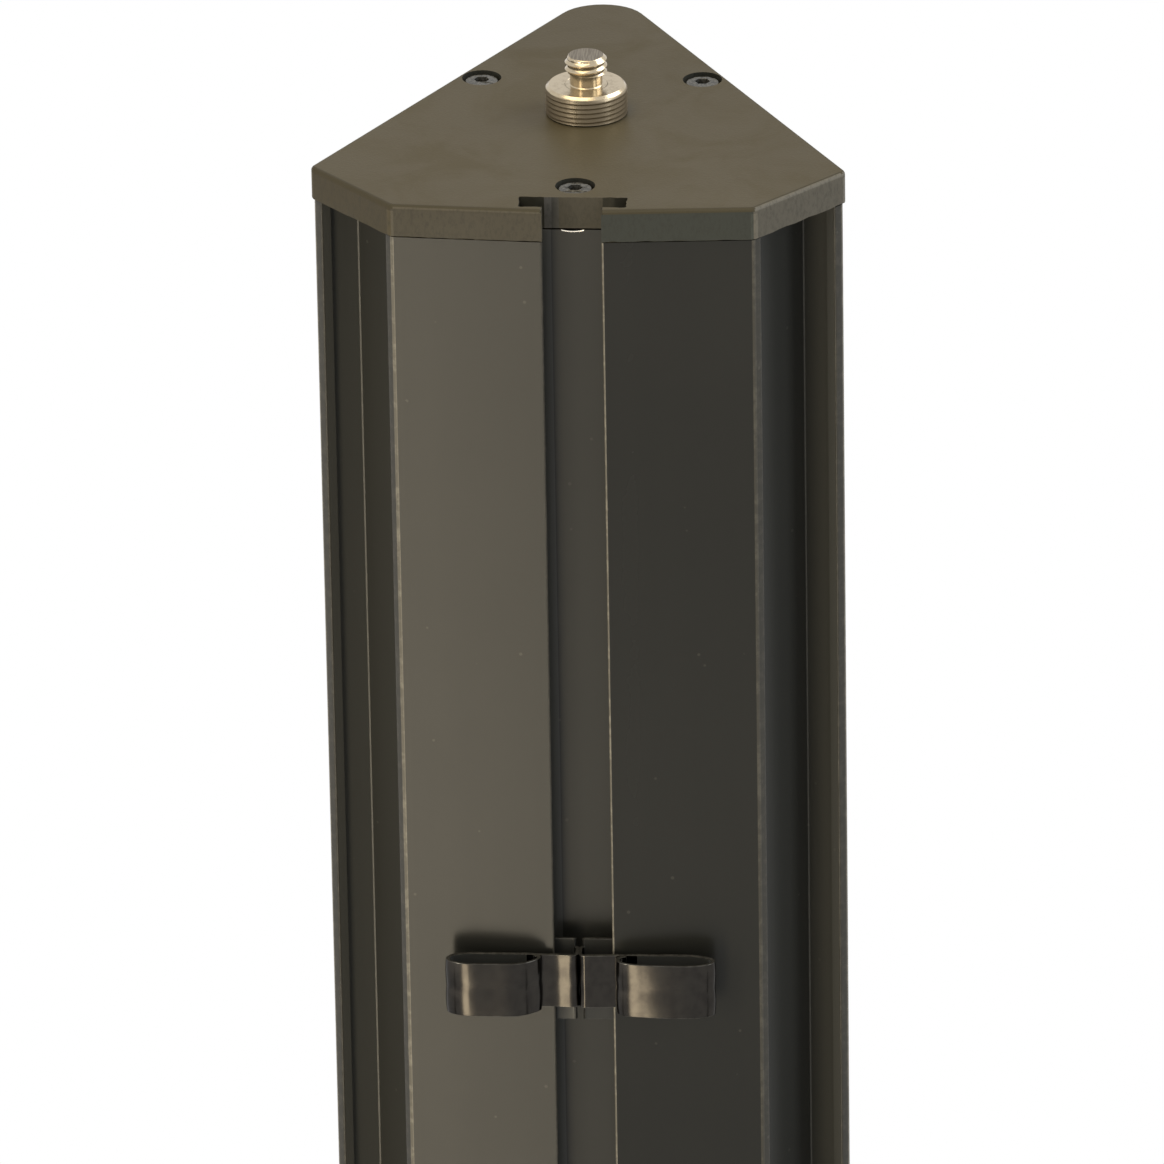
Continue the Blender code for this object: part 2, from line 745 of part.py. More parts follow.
def leg_knuckle_mesh():
    half = LEG_TALL / 2
    nose = arc((0, 0), half, 90 * DEG, 270 * DEG, 10)
    body = side_outline([nose + [Vector((KNUCKLE_LENGTH, -half)), Vector((KNUCKLE_LENGTH, half))]], LEG_WIDE)
    inner_y = LEG_WIDE / 2 - LEG_WALL - GAP
    inner_z = half - LEG_WALL - GAP
    start = KNUCKLE_LENGTH - EAR_SINK
    spigot = box((start, -inner_y, -inner_z), (KNUCKLE_LENGTH + SPIGOT_LENGTH, inner_y, inner_z), CHAMFER, 1)
    hole = rod(PIN_HOLE / 2, -LEG_WIDE, LEG_WIDE)
    sideways = Matrix.Rotation(90 * DEG, 4, "X")
    return cut(joined(body, (spigot, Matrix.Identity(4))), (hole, sideways))


def leg_foot_mesh(length):
    half_wide = LEG_WIDE / 2 + GAP
    half_tall = LEG_TALL / 2 + GAP
    end = length + GAP
    low = (end - FOOT_LENGTH, -half_wide - FOOT_WALL, -LEG_PIVOT_HEIGHT)
    high = (end + FOOT_WALL, half_wide + FOOT_WALL, half_tall + FOOT_WALL)
    pocket = box((0, -half_wide, -half_tall), (end, half_wide, half_tall))
    return cut(box(low, high, FOOT_RADIUS), (pocket, Matrix.Identity(4)))


def make_legs():
    knuckle = leg_knuckle_mesh()
    pin = pivot_pin_mesh(LEG_WIDE + 2 * SIDE_PLAY + 2 * EAR_THICK)
    tubes = {}
    feet = {}
    for name, way, radius, length in leg_settings():
        if length not in tubes:
            tubes[length] = end_outline(tube_loops(LEG_WIDE, LEG_TALL, LEG_WALL), KNUCKLE_LENGTH + GAP, length)
            feet[length] = leg_foot_mesh(length)
        place = facing(Vector((0, HUB_Y)) + way * radius, way, LEG_PIVOT_HEIGHT)
        part("leg_tube_" + name, tubes[length], SATIN_TUBE, place)
        part("leg_knuckle_" + name, knuckle, BLACK_PLASTIC, place)
        part("leg_foot_" + name, feet[length], RUBBER, place)
        part("leg_pivot_pin_" + name, pin, ZINC, place)


def bracket_mesh():
    """The arm's bracket, with x = 0 on the corner face and z = 0 at the arm's pivot."""
    ear_inside = ARM_WIDE / 2 + SIDE_PLAY
    half = ear_inside + ARM_EAR_THICK + BRACKET_MARGIN
    face = GAP + BRACKET_THICK
    plate = box((GAP, -half, -BRACKET_BELOW), (face, half, BRACKET_ABOVE), CHAMFER, 1)
    tongue_half = MOUTH_WIDTH / 2 - GAP
    tongue_low = (-TONGUE_DEPTH, -tongue_half, -BRACKET_BELOW + WALL)
    tongue = box(tongue_low, (face / 2, tongue_half, BRACKET_ABOVE - WALL))
    pivot = face + ARM_PIVOT_OUT
    nose = arc((pivot, 0), ARM_EAR_RADIUS, -90 * DEG, 90 * DEG, 8)
    root = face - BRACKET_THICK / 3
    root_half = BRACKET_BELOW - 3 * MM
    ear = nose + [Vector((root, root_half)), Vector((root, -root_half))]
    ear_mesh = side_outline([ear, circle((pivot, 0), PIN_HOLE)], ARM_EAR_THICK)
    aside = ear_inside + ARM_EAR_THICK / 2
    ears = [(ear_mesh, Matrix.Translation((0, sign * aside, 0))) for sign in (-1, 1)]
    body = joined(plate, (tongue, Matrix.Identity(4)), *ears)
    hole = rod(KNOB_SCREW / 2 + GAP, -2 * face, 2 * face)
    return cut(body, (hole, Matrix.Translation((0, 0, KNOB_HEIGHT)) @ Matrix.Rotation(90 * DEG, 4, "Y")))


def channel_nut_mesh():
    """The bar behind the channel's lips, with the bracket's own origin."""
    half = MOUTH_WIDTH / 2 + UNDERCUT - GAP
    high = -LIP_DEPTH - GAP
    low = high - CHANNEL_NUT_THICK
    middle = KNOB_HEIGHT
    tall = CHANNEL_NUT_TALL / 2
    body = box((low, -half, middle - tall), (high, half, middle + tall), CHAMFER, 1)
    hole = rod(KNOB_SCREW / 2 + GAP, -BRACKET_ABOVE, BRACKET_ABOVE)
    return cut(body, (hole, Matrix.Translation((0, 0, middle)) @ Matrix.Rotation(90 * DEG, 4, "Y")))


def knob_mesh():
    """The clamp knob, along +X, with x = 0 on the corner face."""
    seat = 2 * GAP + BRACKET_THICK
    steps = 8 * KNOB_LOBES
    rim = []
    for n in range(steps):
        angle = 2 * math.pi * n / steps
        radius = KNOB_RADIUS + KNOB_LOBE * math.cos(KNOB_LOBES * angle)
        rim.append(Vector((radius * math.cos(angle), radius * math.sin(angle))))
    head_start = seat + KNOB_HUB_TALL
    head = end_outline([rim], head_start, head_start + KNOB_THICK)
    along = Matrix.Rotation(90 * DEG, 4, "Y")
    hub = rod(KNOB_HUB_RADIUS, seat, head_start + EAR_SINK)
    tip = -LIP_DEPTH - GAP - CHANNEL_NUT_THICK - KNOB_SCREW_PAST_NUT
    screw = rod(KNOB_SCREW / 2, tip, head_start + EAR_SINK, 16)
    return joined(head, (hub, along), (screw, along))


def arm_tube_mesh(length):
    half = ARM_TALL / 2
    nose = arc((0, 0), half, 90 * DEG, 270 * DEG, 8)
    profile = side_outline([nose + [Vector((length, -half)), Vector((length, half))]], ARM_WIDE)
    inner_y = ARM_WIDE / 2 - ARM_WALL
    inner_z = half - ARM_WALL
    hollow = box((-length, -inner_y, -inner_z), (2 * length, inner_y, inner_z))
    hole = rod(PIN_HOLE / 2, -ARM_WIDE, ARM_WIDE)
    sideways = Matrix.Rotation(90 * DEG, 4, "X")
    return cut(profile, (hollow, Matrix.Identity(4)), (hole, sideways))


def arm_pad_mesh(length):
    base = ARM_TALL / 2 + GAP
    low = (PAD_START, -PAD_WIDE / 2, base)
    return box(low, (length - PAD_END_MARGIN, PAD_WIDE / 2, base + PAD_THICK), CHAMFER, 1)


def arm_end_cap_mesh(length):
    half = ARM_TALL / 2
    start = length + GAP
    end = start + END_CAP_THICK
    top = half + END_STOP_TALL
    body = box((start, -ARM_WIDE / 2, -half), (end, ARM_WIDE / 2, top), CHAMFER * 2, 2)
    inner_y = ARM_WIDE / 2 - ARM_WALL - GAP
    inner_z = half - ARM_WALL - GAP
    plug = box((start - END_PLUG_LENGTH, -inner_y, -inner_z), (start + END_CAP_THICK / 2, inner_y, inner_z))
    return joined(body, (plug, Matrix.Identity(4)))


def make_arms():
    bracket = bracket_mesh()
    nut = channel_nut_mesh()
    knob = knob_mesh()
    pin = pivot_pin_mesh(ARM_WIDE + 2 * SIDE_PLAY + 2 * ARM_EAR_THICK)
    outward = face_direction()
    middle = channel_middle()
    to_pivot = Matrix.Translation((GAP + BRACKET_THICK + ARM_PIVOT_OUT, 0, 0))
    tiers = (("lower", LOWER_ARM_HEIGHT, LOWER_ARM_LENGTH), ("upper", UPPER_ARM_HEIGHT, UPPER_ARM_LENGTH))
    for tier, height, length in tiers:
        tube = arm_tube_mesh(length)
        pad = arm_pad_mesh(length)
        end_cap = arm_end_cap_mesh(length)
        for side, sign in (("left", -1), ("right", 1)):
            name = tier + "_" + side
            way = Vector((sign * outward.x, outward.y))
            on_face = facing((sign * middle.x, middle.y), way, height)
            knob_axis = on_face @ Matrix.Translation((0, 0, KNOB_HEIGHT))
            part("arm_bracket_" + name, bracket, CASTING, on_face)
            part("channel_nut_" + name, nut, ZINC, on_face)
            part("clamp_knob_" + name, knob, BLACK_PLASTIC, knob_axis)
            part("arm_pivot_pin_" + name, pin, ZINC, on_face @ to_pivot)
            part("arm_tube_" + name, tube, SATIN_TUBE, on_face @ to_pivot)
            part("arm_pad_" + name, pad, RUBBER, on_face @ to_pivot)
            part("arm_end_cap_" + name, end_cap, BLACK_PLASTIC, on_face @ to_pivot)


def ribbon(path, thick):
    """The closed loop of a strip that follows a path, half its thickness to each side."""
    left = []
    right = []
    for n, point in enumerate(path):
        before = path[max(n - 1, 0)]
        after = path[min(n + 1, len(path) - 1)]
        way_in = (point - before).normalized() if n else (after - point).normalized()
        way_out = (after - point).normalized() if n < len(path) - 1 else way_in
        along = (way_in + way_out).normalized()
        aside = Vector((-along.y, along.x)) * (thick / 2 / along.dot(way_in))
        left.append(point + aside)
        right.append(point - aside)
    return left + right[::-1]


def clip_loop_mesh(leg_x, loop_end_x):
    """The right half of the clip: its leg in the slot's neck, its back strand and its flat loop."""
    half_thick = CLIP_THICK / 2
    back_y = front_at(NECK_WIDTH / 2, CAP_OVERHANG) - CLIP_STANDOFF
    loop_radius = (CLIP_LOOP_DEPTH - CLIP_THICK) / 2
    middle_y = back_y - loop_radius
    outer_x = loop_end_x - half_thick - loop_radius
    inner_x = CLIP_INNER_X + half_thick + loop_radius
    path = [Vector((leg_x, LIP_BACK + GAP + half_thick))]
    path += arc((leg_x + CLIP_BEND, back_y + CLIP_BEND), CLIP_BEND, 180 * DEG, 270 * DEG, 3)
    path += arc((outer_x, middle_y), loop_radius, 90 * DEG, -90 * DEG, 8)
    path += arc((inner_x, middle_y), loop_radius, -90 * DEG, -225 * DEG, 6)
    return outline([ribbon(path, CLIP_THICK)], CLIP_TALL)


def clip_mesh():
    """The cable clip: two flat loops in front of the face, and tabs behind the slot's lips."""
    from_centre = (CLIP_THICK - LEG_OVERLAP) / 2
    right = clip_loop_mesh(CLIP_LEG_X + from_centre, CLIP_RIGHT_OUTER_X)
    left = clip_loop_mesh(-CLIP_LEG_X + from_centre, CLIP_LEFT_OUTER_X)
    left.transform(Matrix.Scale(-1, 4, (1, 0, 0)))
    left.flip_normals()
    tab_top = CLIP_TALL + TAB_ABOVE_LOOP
    tab_y = LIP_BACK + GAP
    tabs = []
    for sign in (-1, 1):
        ends = sorted((CLIP_LEG_X + sign * TAB_SPLIT / 2, sign * TAB_HALF_WIDTH))
        low = (ends[0], tab_y, tab_top - TAB_TALL)
        tabs.append((box(low, (ends[1], tab_y + CLIP_THICK, tab_top)), Matrix.Identity(4)))
    body = joined(right, (left, Matrix.Identity(4)), *tabs)
    body.transform(Matrix.Translation((0, 0, -CLIP_TALL / 2)))
    return body


def make_clips():
    mesh = clip_mesh()
    heights = (("upper", CAP_TOP - UPPER_CLIP_BELOW_CAP), ("lower", LOWER_CLIP_HEIGHT))
    for name, height in heights:
        part("cable_clip_" + name, mesh, DARK_STEEL, at_section((0, 0), height))


clear_scene()
make_column()
make_cap()
make_screws()
make_boom_mount()
make_base()
make_legs()
make_arms()
make_clips()
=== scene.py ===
# %% [markdown]
# A column keyboard stand, finished for its picture. The CAD frame gives every piece its size and
# place. This script gives each piece its softened edges, its threads, its folds and its finish.
# Each step says what the piece is on the real stand, how it could be made, and why this way.

# %% Load the frame
import json
import math
import random

import bmesh
import bpy
from mathutils import Matrix, Vector


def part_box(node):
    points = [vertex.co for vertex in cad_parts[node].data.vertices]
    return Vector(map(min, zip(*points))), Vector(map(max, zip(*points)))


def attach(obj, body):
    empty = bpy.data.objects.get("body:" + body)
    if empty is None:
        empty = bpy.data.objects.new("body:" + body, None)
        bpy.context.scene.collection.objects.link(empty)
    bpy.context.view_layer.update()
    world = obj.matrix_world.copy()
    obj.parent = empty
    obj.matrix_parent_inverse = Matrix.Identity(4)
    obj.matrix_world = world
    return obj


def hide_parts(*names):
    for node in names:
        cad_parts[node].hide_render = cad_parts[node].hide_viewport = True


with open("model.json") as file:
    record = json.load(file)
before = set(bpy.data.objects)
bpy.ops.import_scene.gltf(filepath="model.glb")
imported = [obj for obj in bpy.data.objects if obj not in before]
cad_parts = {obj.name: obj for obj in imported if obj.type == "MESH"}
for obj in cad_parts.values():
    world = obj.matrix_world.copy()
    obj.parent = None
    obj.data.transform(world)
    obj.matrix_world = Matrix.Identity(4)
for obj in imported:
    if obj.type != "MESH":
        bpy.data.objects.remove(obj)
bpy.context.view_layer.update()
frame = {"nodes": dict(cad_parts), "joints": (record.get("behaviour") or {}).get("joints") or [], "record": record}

MM = 0.001
CLOSE = 0.1 * MM
UPWARD = Vector((0, 0, 1))

nodes = frame["nodes"]
bodies = frame["record"]["behaviour"]["bodies"]
body_of = {node: body for body, members in bodies.items() for node in members}
slot_of = {row["node"]: row["material_slot"] for row in frame["record"]["subparts"]}
joints = {joint["name"]: joint for joint in frame["joints"]}

# %% [markdown]
# The camera stands 2.5 m away, a little right of the T slot and 24 degrees above the cap, and sees
# only the top of the column, as the photograph does. Its place was solved from the cap's corners.
# It comes first, so that every later step can be judged through it.

# %% Camera
CAMERA_TURN = math.radians(3.814)
CAMERA_LIFT = math.radians(24.2)
CAMERA_ROLL = math.radians(-0.9457)
CAMERA_DISTANCE = 2.5
AIM = Vector((0.783 * MM, -66.825 * MM, (1219.2 - 78.05) * MM))
PHOTO_SIDE = 1164
LENS_PIXELS = 12989.6


def direction(turn, lift):
    """The way out at an angle to the right of the front, and at an angle above level."""
    return Vector((
        math.sin(turn) * math.cos(lift), -math.cos(turn) * math.cos(lift), math.sin(lift),
    ))


away = direction(CAMERA_TURN, CAMERA_LIFT)
level = Vector((math.cos(CAMERA_TURN), math.sin(CAMERA_TURN), 0))
up = away.cross(level)
right = level * math.cos(CAMERA_ROLL) + up * math.sin(CAMERA_ROLL)
top = up * math.cos(CAMERA_ROLL) - level * math.sin(CAMERA_ROLL)
view_axes = Matrix((right, top, away)).transposed().to_4x4()

camera_data = bpy.data.cameras.new("photo_camera")
camera_data.sensor_width = 36
camera_data.lens = LENS_PIXELS * camera_data.sensor_width / PHOTO_SIDE
camera_data.clip_end = 100
camera = bpy.data.objects.new("photo_camera", camera_data)
camera.matrix_world = Matrix.Translation(AIM + away * CAMERA_DISTANCE) @ view_axes
scene = bpy.context.scene
scene.collection.objects.link(camera)
bpy.context.scene.camera = camera
print("camera at", [round(v, 3) for v in camera.matrix_world.translation])
print("lens", round(camera_data.lens, 1), "mm")

# %% [markdown]
# World, floor and finishes are all trees of shader nodes. A tree can be built by hand in the
# editor, but here a few small helpers do it: each adds one node, feeds its inputs with numbers or
# with another node's output, and hands back what comes out.

# %% Tools for shader nodes
def feed(tree, target, value):
    """Links a node's output to an input, or sets the input where the value is a plain one."""
    if isinstance(value, bpy.types.NodeSocket):
        tree.links.new(value, target)
    else:
        target.default_value = value


def add_node(tree, kind, inputs=None, **settings):
    """Adds a node, sets it up, and feeds its inputs, which are given by title or by number."""
    node = tree.nodes.new("ShaderNode" + kind)
    for name, value in settings.items():
        setattr(node, name, value)
    for title, value in (inputs or {}).items():
        feed(tree, node.inputs[title], value)
    return node


def math_node(tree, operation, *values):
    return add_node(tree, "Math", dict(enumerate(values)), operation=operation).outputs[0]


def ranged(tree, value, low, high, to_low=0.0, to_high=1.0, how="SMOOTHSTEP"):
    """A value that goes from to_low to to_high while the first one goes from low to high."""
    inputs = {
        "Value": value, "From Min": low, "From Max": high, "To Min": to_low, "To Max": to_high,
    }
    return add_node(tree, "MapRange", inputs, interpolation_type=how).outputs["Result"]


def noise(tree, place, scale, detail=3.0, roughness=0.55, distortion=0.0):
    inputs = {
        "Vector": place, "Scale": scale, "Detail": detail, "Roughness": roughness,
        "Distortion": distortion,
    }
    return add_node(tree, "TexNoise", inputs).outputs["Fac"]


def stretched(tree, place, scale):
    """A place scaled by a different amount along each axis."""
    inputs = {"Vector": place, "Scale": scale}
    return add_node(tree, "Mapping", inputs, vector_type="POINT").outputs["Vector"]


# %% [markdown]
# The studio is a white room with soft lamps. The world is plain white to the camera and in
# reflections, and dimmer as a light, so the lamps keep some shape in the forms.

# %% White room
ROOM_LIGHT = 0.36

scene.view_settings.view_transform = "Standard"
world = bpy.data.worlds.new("white_room")
world.use_nodes = True
scene.world = world
room = world.node_tree
rays = add_node(room, "LightPath").outputs
looked = math_node(room, "MAXIMUM", rays["Is Camera Ray"], rays["Is Glossy Ray"])
looked = math_node(room, "MAXIMUM", looked, rays["Is Transmission Ray"])
background = room.nodes["Background"]
background.inputs["Color"].default_value = (1, 1, 1, 1)
room_strength = ranged(room, looked, 0.0, 1.0, ROOM_LIGHT, 1.0, how="LINEAR")
feed(room, background.inputs["Strength"], room_strength)
print("room light:", ROOM_LIGHT)

# %% [markdown]
# A tall soft strip stands low at the front left, because the left half of the column's front
# mirrors it and the right half does not, although they differ by only eight degrees. A warm wall
# fills the left. Two narrow windows draw the pale lines down the corners, a box behind at the
# right lights the cap's right side, and a warm box hangs overhead.

# %% Lamps
COLUMN_HEAD = Vector((0, -0.03, 1.15))
LAMPS = {
    # turn and lift in degrees, distance, width and height in metres, radiance, tint
    "low_left_strip": (-19.5, -24, 1.5, (0.33, 1.0), 10.0, (1.0, 0.87, 0.64)),
    "left_wall": (-60, 0, 2.0, (2.6, 1.9), 0.5, (1.0, 0.92, 0.79)),
    "left_window": (-38, 8, 2.0, (0.35, 1.5), 6.0, (1.0, 0.93, 0.82)),
    "right_window": (65, 8, 2.0, (0.5, 1.5), 4.0, (0.9, 0.95, 1.0)),
    "right_back_box": (105, 38, 2.2, (1.4, 1.2), 5.0, (1, 1, 1)),
    "overhead_box": (-60, 76, 2.0, (1.6, 1.6), 3.4, (1.0, 0.84, 0.55)),
}


def soft_lamp(name, turn, lift, distance, size, radiance, tint):
    """A rectangular lamp, placed by its direction from the column's head and turned to it."""
    data = bpy.data.lights.new(name, "AREA")
    data.shape = "RECTANGLE"
    data.size, data.size_y = size
    data.energy = radiance * math.pi * size[0] * size[1]
    data.color = tint
    outward = direction(math.radians(turn), math.radians(lift))
    lamp = bpy.data.objects.new(name, data)
    lamp.location = COLUMN_HEAD + outward * distance
    lamp.rotation_euler = outward.to_track_quat("Z", "Y").to_euler()
    lamp.visible_camera = False
    scene.collection.objects.link(lamp)


for name, values in LAMPS.items():
    soft_lamp(name, *values)

# %% [markdown]
# The floor is a round sheet that keeps the stand's shadow and fades to the white of the room
# before its edge, so no horizon shows. Seen from below it lets the camera through.

# %% Floor
FLOOR_RADIUS = 1.5
FADE_START, FADE_END = 0.65, 0.97 * FLOOR_RADIUS
FLOOR_COLOUR = (0.82, 0.865, 0.94, 1)


def make_floor():
    work = bmesh.new()
    bmesh.ops.create_circle(work, cap_ends=True, segments=96, radius=FLOOR_RADIUS)
    mesh = bpy.data.meshes.new("floor")
    work.to_mesh(mesh)
    work.free()
    sheet = bpy.data.objects.new("floor", mesh)
    scene.collection.objects.link(sheet)
    return sheet


def floor_material():
    made = bpy.data.materials.new("pale_floor")
    made.use_nodes = True
    tree = made.node_tree
    tree.nodes.clear()
    place = add_node(tree, "TexCoord").outputs["Object"]
    length = add_node(tree, "VectorMath", {0: place}, operation="LENGTH").outputs["Value"]
    fade = ranged(tree, length, FADE_START, FADE_END, how="SMOOTHERSTEP")
    rays = add_node(tree, "LightPath").outputs
    looked = math_node(tree, "MAXIMUM", rays["Is Camera Ray"], rays["Is Glossy Ray"])
    faded = math_node(tree, "MULTIPLY", fade, looked)
    sheet = add_node(tree, "BsdfDiffuse", {"Color": FLOOR_COLOUR}).outputs[0]
    white = add_node(tree, "Emission").outputs[0]
    clear = add_node(tree, "BsdfTransparent").outputs[0]
    from_below = add_node(tree, "NewGeometry").outputs["Backfacing"]
    above = add_node(tree, "MixShader", {"Fac": faded, 1: sheet, 2: white}).outputs[0]
    whole = add_node(tree, "MixShader", {"Fac": from_below, 1: above, 2: clear}).outputs[0]
    add_node(tree, "OutputMaterial", {"Surface": whole})
    return made


floor = make_floor()
floor.data.materials.append(floor_material())
print("floor:", FLOOR_RADIUS, "m across half")

# %% [markdown]
# Every pattern here is read in a piece's own frame, with x along its length, so that the grain of
# a leg runs down the leg and not down the room. Each finished mesh carries that frame as an
# attribute named lie, and an attribute named worn that is 1 on its rounded edges, where a hand or
# a strap rubs first. On the column, the cap and the boom collar the worn attribute also carries
# painted light: painted highlights along the column's edges, a painted shade band on the cap's rim
# and painted shade round the collar's side. A frame for each moving piece comes from its joint.

# %% Frames of the pieces
SECTION_Y = -66.825 * MM
CAP_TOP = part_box("top_cap")[1].z
COLUMN_LOW, COLUMN_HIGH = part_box("column")


def middle_of(node):
    low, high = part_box(node)
    return (low + high) / 2


def frame_along(origin, along, upward=UPWARD):
    """A frame at a point: x runs along a direction, and z as near upward as it can."""
    x = Vector(along).normalized()
    y = Vector(upward).cross(x).normalized()
    z = x.cross(y)
    return Matrix.Translation(origin) @ Matrix((x, y, z)).transposed().to_4x4()


UPRIGHT = frame_along((0, SECTION_Y, 0), (0, 0, 1), (0, 1, 0))
MOVED_BY = (("leg_", "leg_fold_"), ("arm_", "arm_tilt_"), ("channel_nut_", "arm_tilt_"))


def frame_of(node):
    """A node's frame: its joint's, with x pointing out from the column, or the column's own."""
    place = "_".join(node.split("_")[-2:])
    for kind, joint_kind in MOVED_BY:
        joint = joints.get(joint_kind + place)
        if node.startswith(kind) and joint:
            return frame_along(joint["pos_m"], UPWARD.cross(Vector(joint["axis"])))
    if node.startswith("clamp_knob_"):
        joint = joints["knob_turn_" + place]
        return frame_along(joint["pos_m"], joint["axis"])
    middle = middle_of(node)
    to_middle = Matrix.Translation((middle.x, middle.y, 0))
    return to_middle @ Matrix.Translation((0, -SECTION_Y, 0)) @ UPRIGHT


print("leg frame x:", [round(v, 3) for v in frame_of("leg_tube_front_left").to_3x3().col[0]])

# %% [markdown]
# The edges of real pieces are never sharp: a casting has its draft and fillets, a sawn tube is
# deburred. The CAD solids keep plain edges, so each copy is welded, its flats are made whole, and
# its edges are bevelled in the mesh. A Bevel modifier would round them too, but the operator hands
# back the new faces, and those faces are where the wear mask belongs.

# %% Softened copies of the CAD solids
WELD = 0.002 * MM
FLAT_ANGLE = math.radians(0.6)
CUT_REACH = 0.01 * MM


def copy_of(node):
    """The node's solid with its loose triangles welded and its flats whole."""
    work = bmesh.new()
    work.from_mesh(nodes[node].data)
    bmesh.ops.remove_doubles(work, verts=work.verts, dist=WELD)
    bmesh.ops.dissolve_limit(work, angle_limit=FLAT_ANGLE, verts=work.verts, edges=work.edges)
    return work


def middle_of_edge(edge):
    return (edge.verts[0].co + edge.verts[1].co) / 2


def sharp_edges(work, least, where=None):
    """Edges whose faces turn outwards by at least an angle, perhaps only those a test picks."""
    return [
        edge for edge in work.edges
        if len(edge.link_faces) == 2 and edge.is_convex and edge.calc_face_angle(0) >= least
        and (where is None or where(middle_of_edge(edge)))
    ]


# The worn layer holds wear on rounded edges, and on the column, cap and collar also painted light and shade.
def wear_and_painted_light_layer(work):
    return work.faces.layers.float.get("worn") or work.faces.layers.float.new("worn")


def soften(work, edges, width, segments=2, clamp=True, slide=True):
    """Rounds the edges and marks the new faces as worn."""
    worn = wear_and_painted_light_layer(work)
    made = bmesh.ops.bevel(
        work, geom=edges, offset=width, offset_type="OFFSET", segments=segments, profile=0.5,
        affect="EDGES", clamp_overlap=clamp, material=-1, loop_slide=slide,
    )
    for face in made["faces"]:
        face[worn] = 1.0
    return made["faces"]


def cut_faces(work, faces, point, normal):
    """Cuts some faces by a plane and leaves the others whole."""
    corners = list(dict.fromkeys(v for f in faces for v in f.verts))
    sides = list(dict.fromkeys(e for f in faces for e in f.edges))
    bmesh.ops.bisect_plane(
        work, geom=corners + sides + faces, dist=CUT_REACH, plane_co=point, plane_no=normal,
    )


print("weld:", WELD / MM, "mm")

# %% [markdown]
# A finished mesh becomes a piece: it takes its node's place, body and material slot, and gets the
# lie attribute. Faces that meet at less than 38 degrees are shaded as one, and normals weighted by
# area keep a big flat flat beside its small roundings.

# %% Finished pieces
CREASE = math.radians(38)
AREA_WEIGHT = 80
pieces = {}
finishes = {}


def finish_piece(name, work, node, even=True):
    """Makes the mesh a piece that stands for a CAD node, with its frame, finish and body."""
    wear_and_painted_light_layer(work)
    lie = work.verts.layers.float_vector.new("lie")
    to_own = frame_of(node).inverted()
    for vertex in work.verts:
        vertex[lie] = to_own @ vertex.co
    for face in work.faces:
        face.smooth = True
    for edge in work.edges:
        edge.smooth = len(edge.link_faces) == 2 and edge.calc_face_angle(0) < CREASE
    mesh = bpy.data.meshes.new(name)
    work.to_mesh(mesh)
    work.free()
    piece = bpy.data.objects.new(name, mesh)
    scene.collection.objects.link(piece)
    mesh.materials.append(finishes[slot_of[node]])
    if even:
        weigh = piece.modifiers.new("even_shading", "WEIGHTED_NORMAL")
        weigh.keep_sharp = True
        weigh.weight = AREA_WEIGHT
    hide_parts(node)
    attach(piece, body_of[node])
    pieces[name] = piece
    return piece


# %% [markdown]
# A finish is a shader. What several finishes share is built once as a node group: the lengthwise
# grain that an extrusion die leaves, the fine skin of a moulding or powder coat, the uneven gloss
# of a handled surface, specks of dust, and wear on the rounded edges. A group only puts out masks
# and heights, and each material decides what they do to its own colour, gloss and bump.

# %% Grain and skin
groups = {}
PLACE_INPUT = ("Place", "NodeSocketVector", None)


def new_group(name, inputs, outputs):
    """A shader group whose inputs are (name, kind, value) and whose outputs are numbers."""
    tree = groups[name] = bpy.data.node_groups.new(name, "ShaderNodeTree")
    for title, kind, value in (PLACE_INPUT, *inputs):
        socket = tree.interface.new_socket(title, in_out="INPUT", socket_type=kind)
        if value is not None:
            socket.default_value = value
    for title in outputs:
        tree.interface.new_socket(title, in_out="OUTPUT", socket_type="NodeSocketFloat")
    given, put = tree.nodes.new("NodeGroupInput"), tree.nodes.new("NodeGroupOutput")
    return tree, given.outputs, put.inputs


def grain_group():
    """Fine lines along x, and broader faint bands, as an extrusion die leaves them."""
    tree, given, put = new_group("lengthwise_grain", [], ["Lines", "Bands"])
    for title, scale in (("Lines", (14, 2600, 2600)), ("Bands", (1.5, 160, 160))):
        feed(tree, put[title], noise(tree, stretched(tree, given["Place"], scale), 1.0, 2.0))


def skin_group():
    """The fine pebbled skin of a moulding, a blasted part or a powder coat."""
    tree, given, put = new_group("fine_skin", [("Size", "NodeSocketFloat", 1800.0)], ["Height"])
    feed(tree, put["Height"], noise(tree, given["Place"], given["Size"], 2.5, 0.6))


grain_group()
skin_group()
print("shared effects:", sorted(groups))


# %% Handling, wear and specks
def handling_group():
    """Slow changes over a surface that has been handled, from 0 to 1."""
    tree, given, put = new_group("handled", [], ["Broad", "Smudges"])
    broad = noise(tree, given["Place"], 9.0, 3.0, 0.5, 0.3)
    smudges = noise(tree, given["Place"], 55.0, 4.0, 0.62, 0.6)
    feed(tree, put["Broad"], ranged(tree, broad, 0.3, 0.7))
    feed(tree, put["Smudges"], ranged(tree, smudges, 0.38, 0.72))


def wear_group():
    """Where rounded edges have rubbed, and where the column's edges carry painted highlights: the worn mask,
    broken up.
    """
    tree, given, put = new_group("edge_wear", [("Worn", "NodeSocketFloat", 0.0)], ["Mask"])
    broken = ranged(tree, noise(tree, given["Place"], 420.0, 4.0, 0.7), 0.45, 0.66)
    feed(tree, put["Mask"], math_node(tree, "MULTIPLY", broken, given["Worn"]))


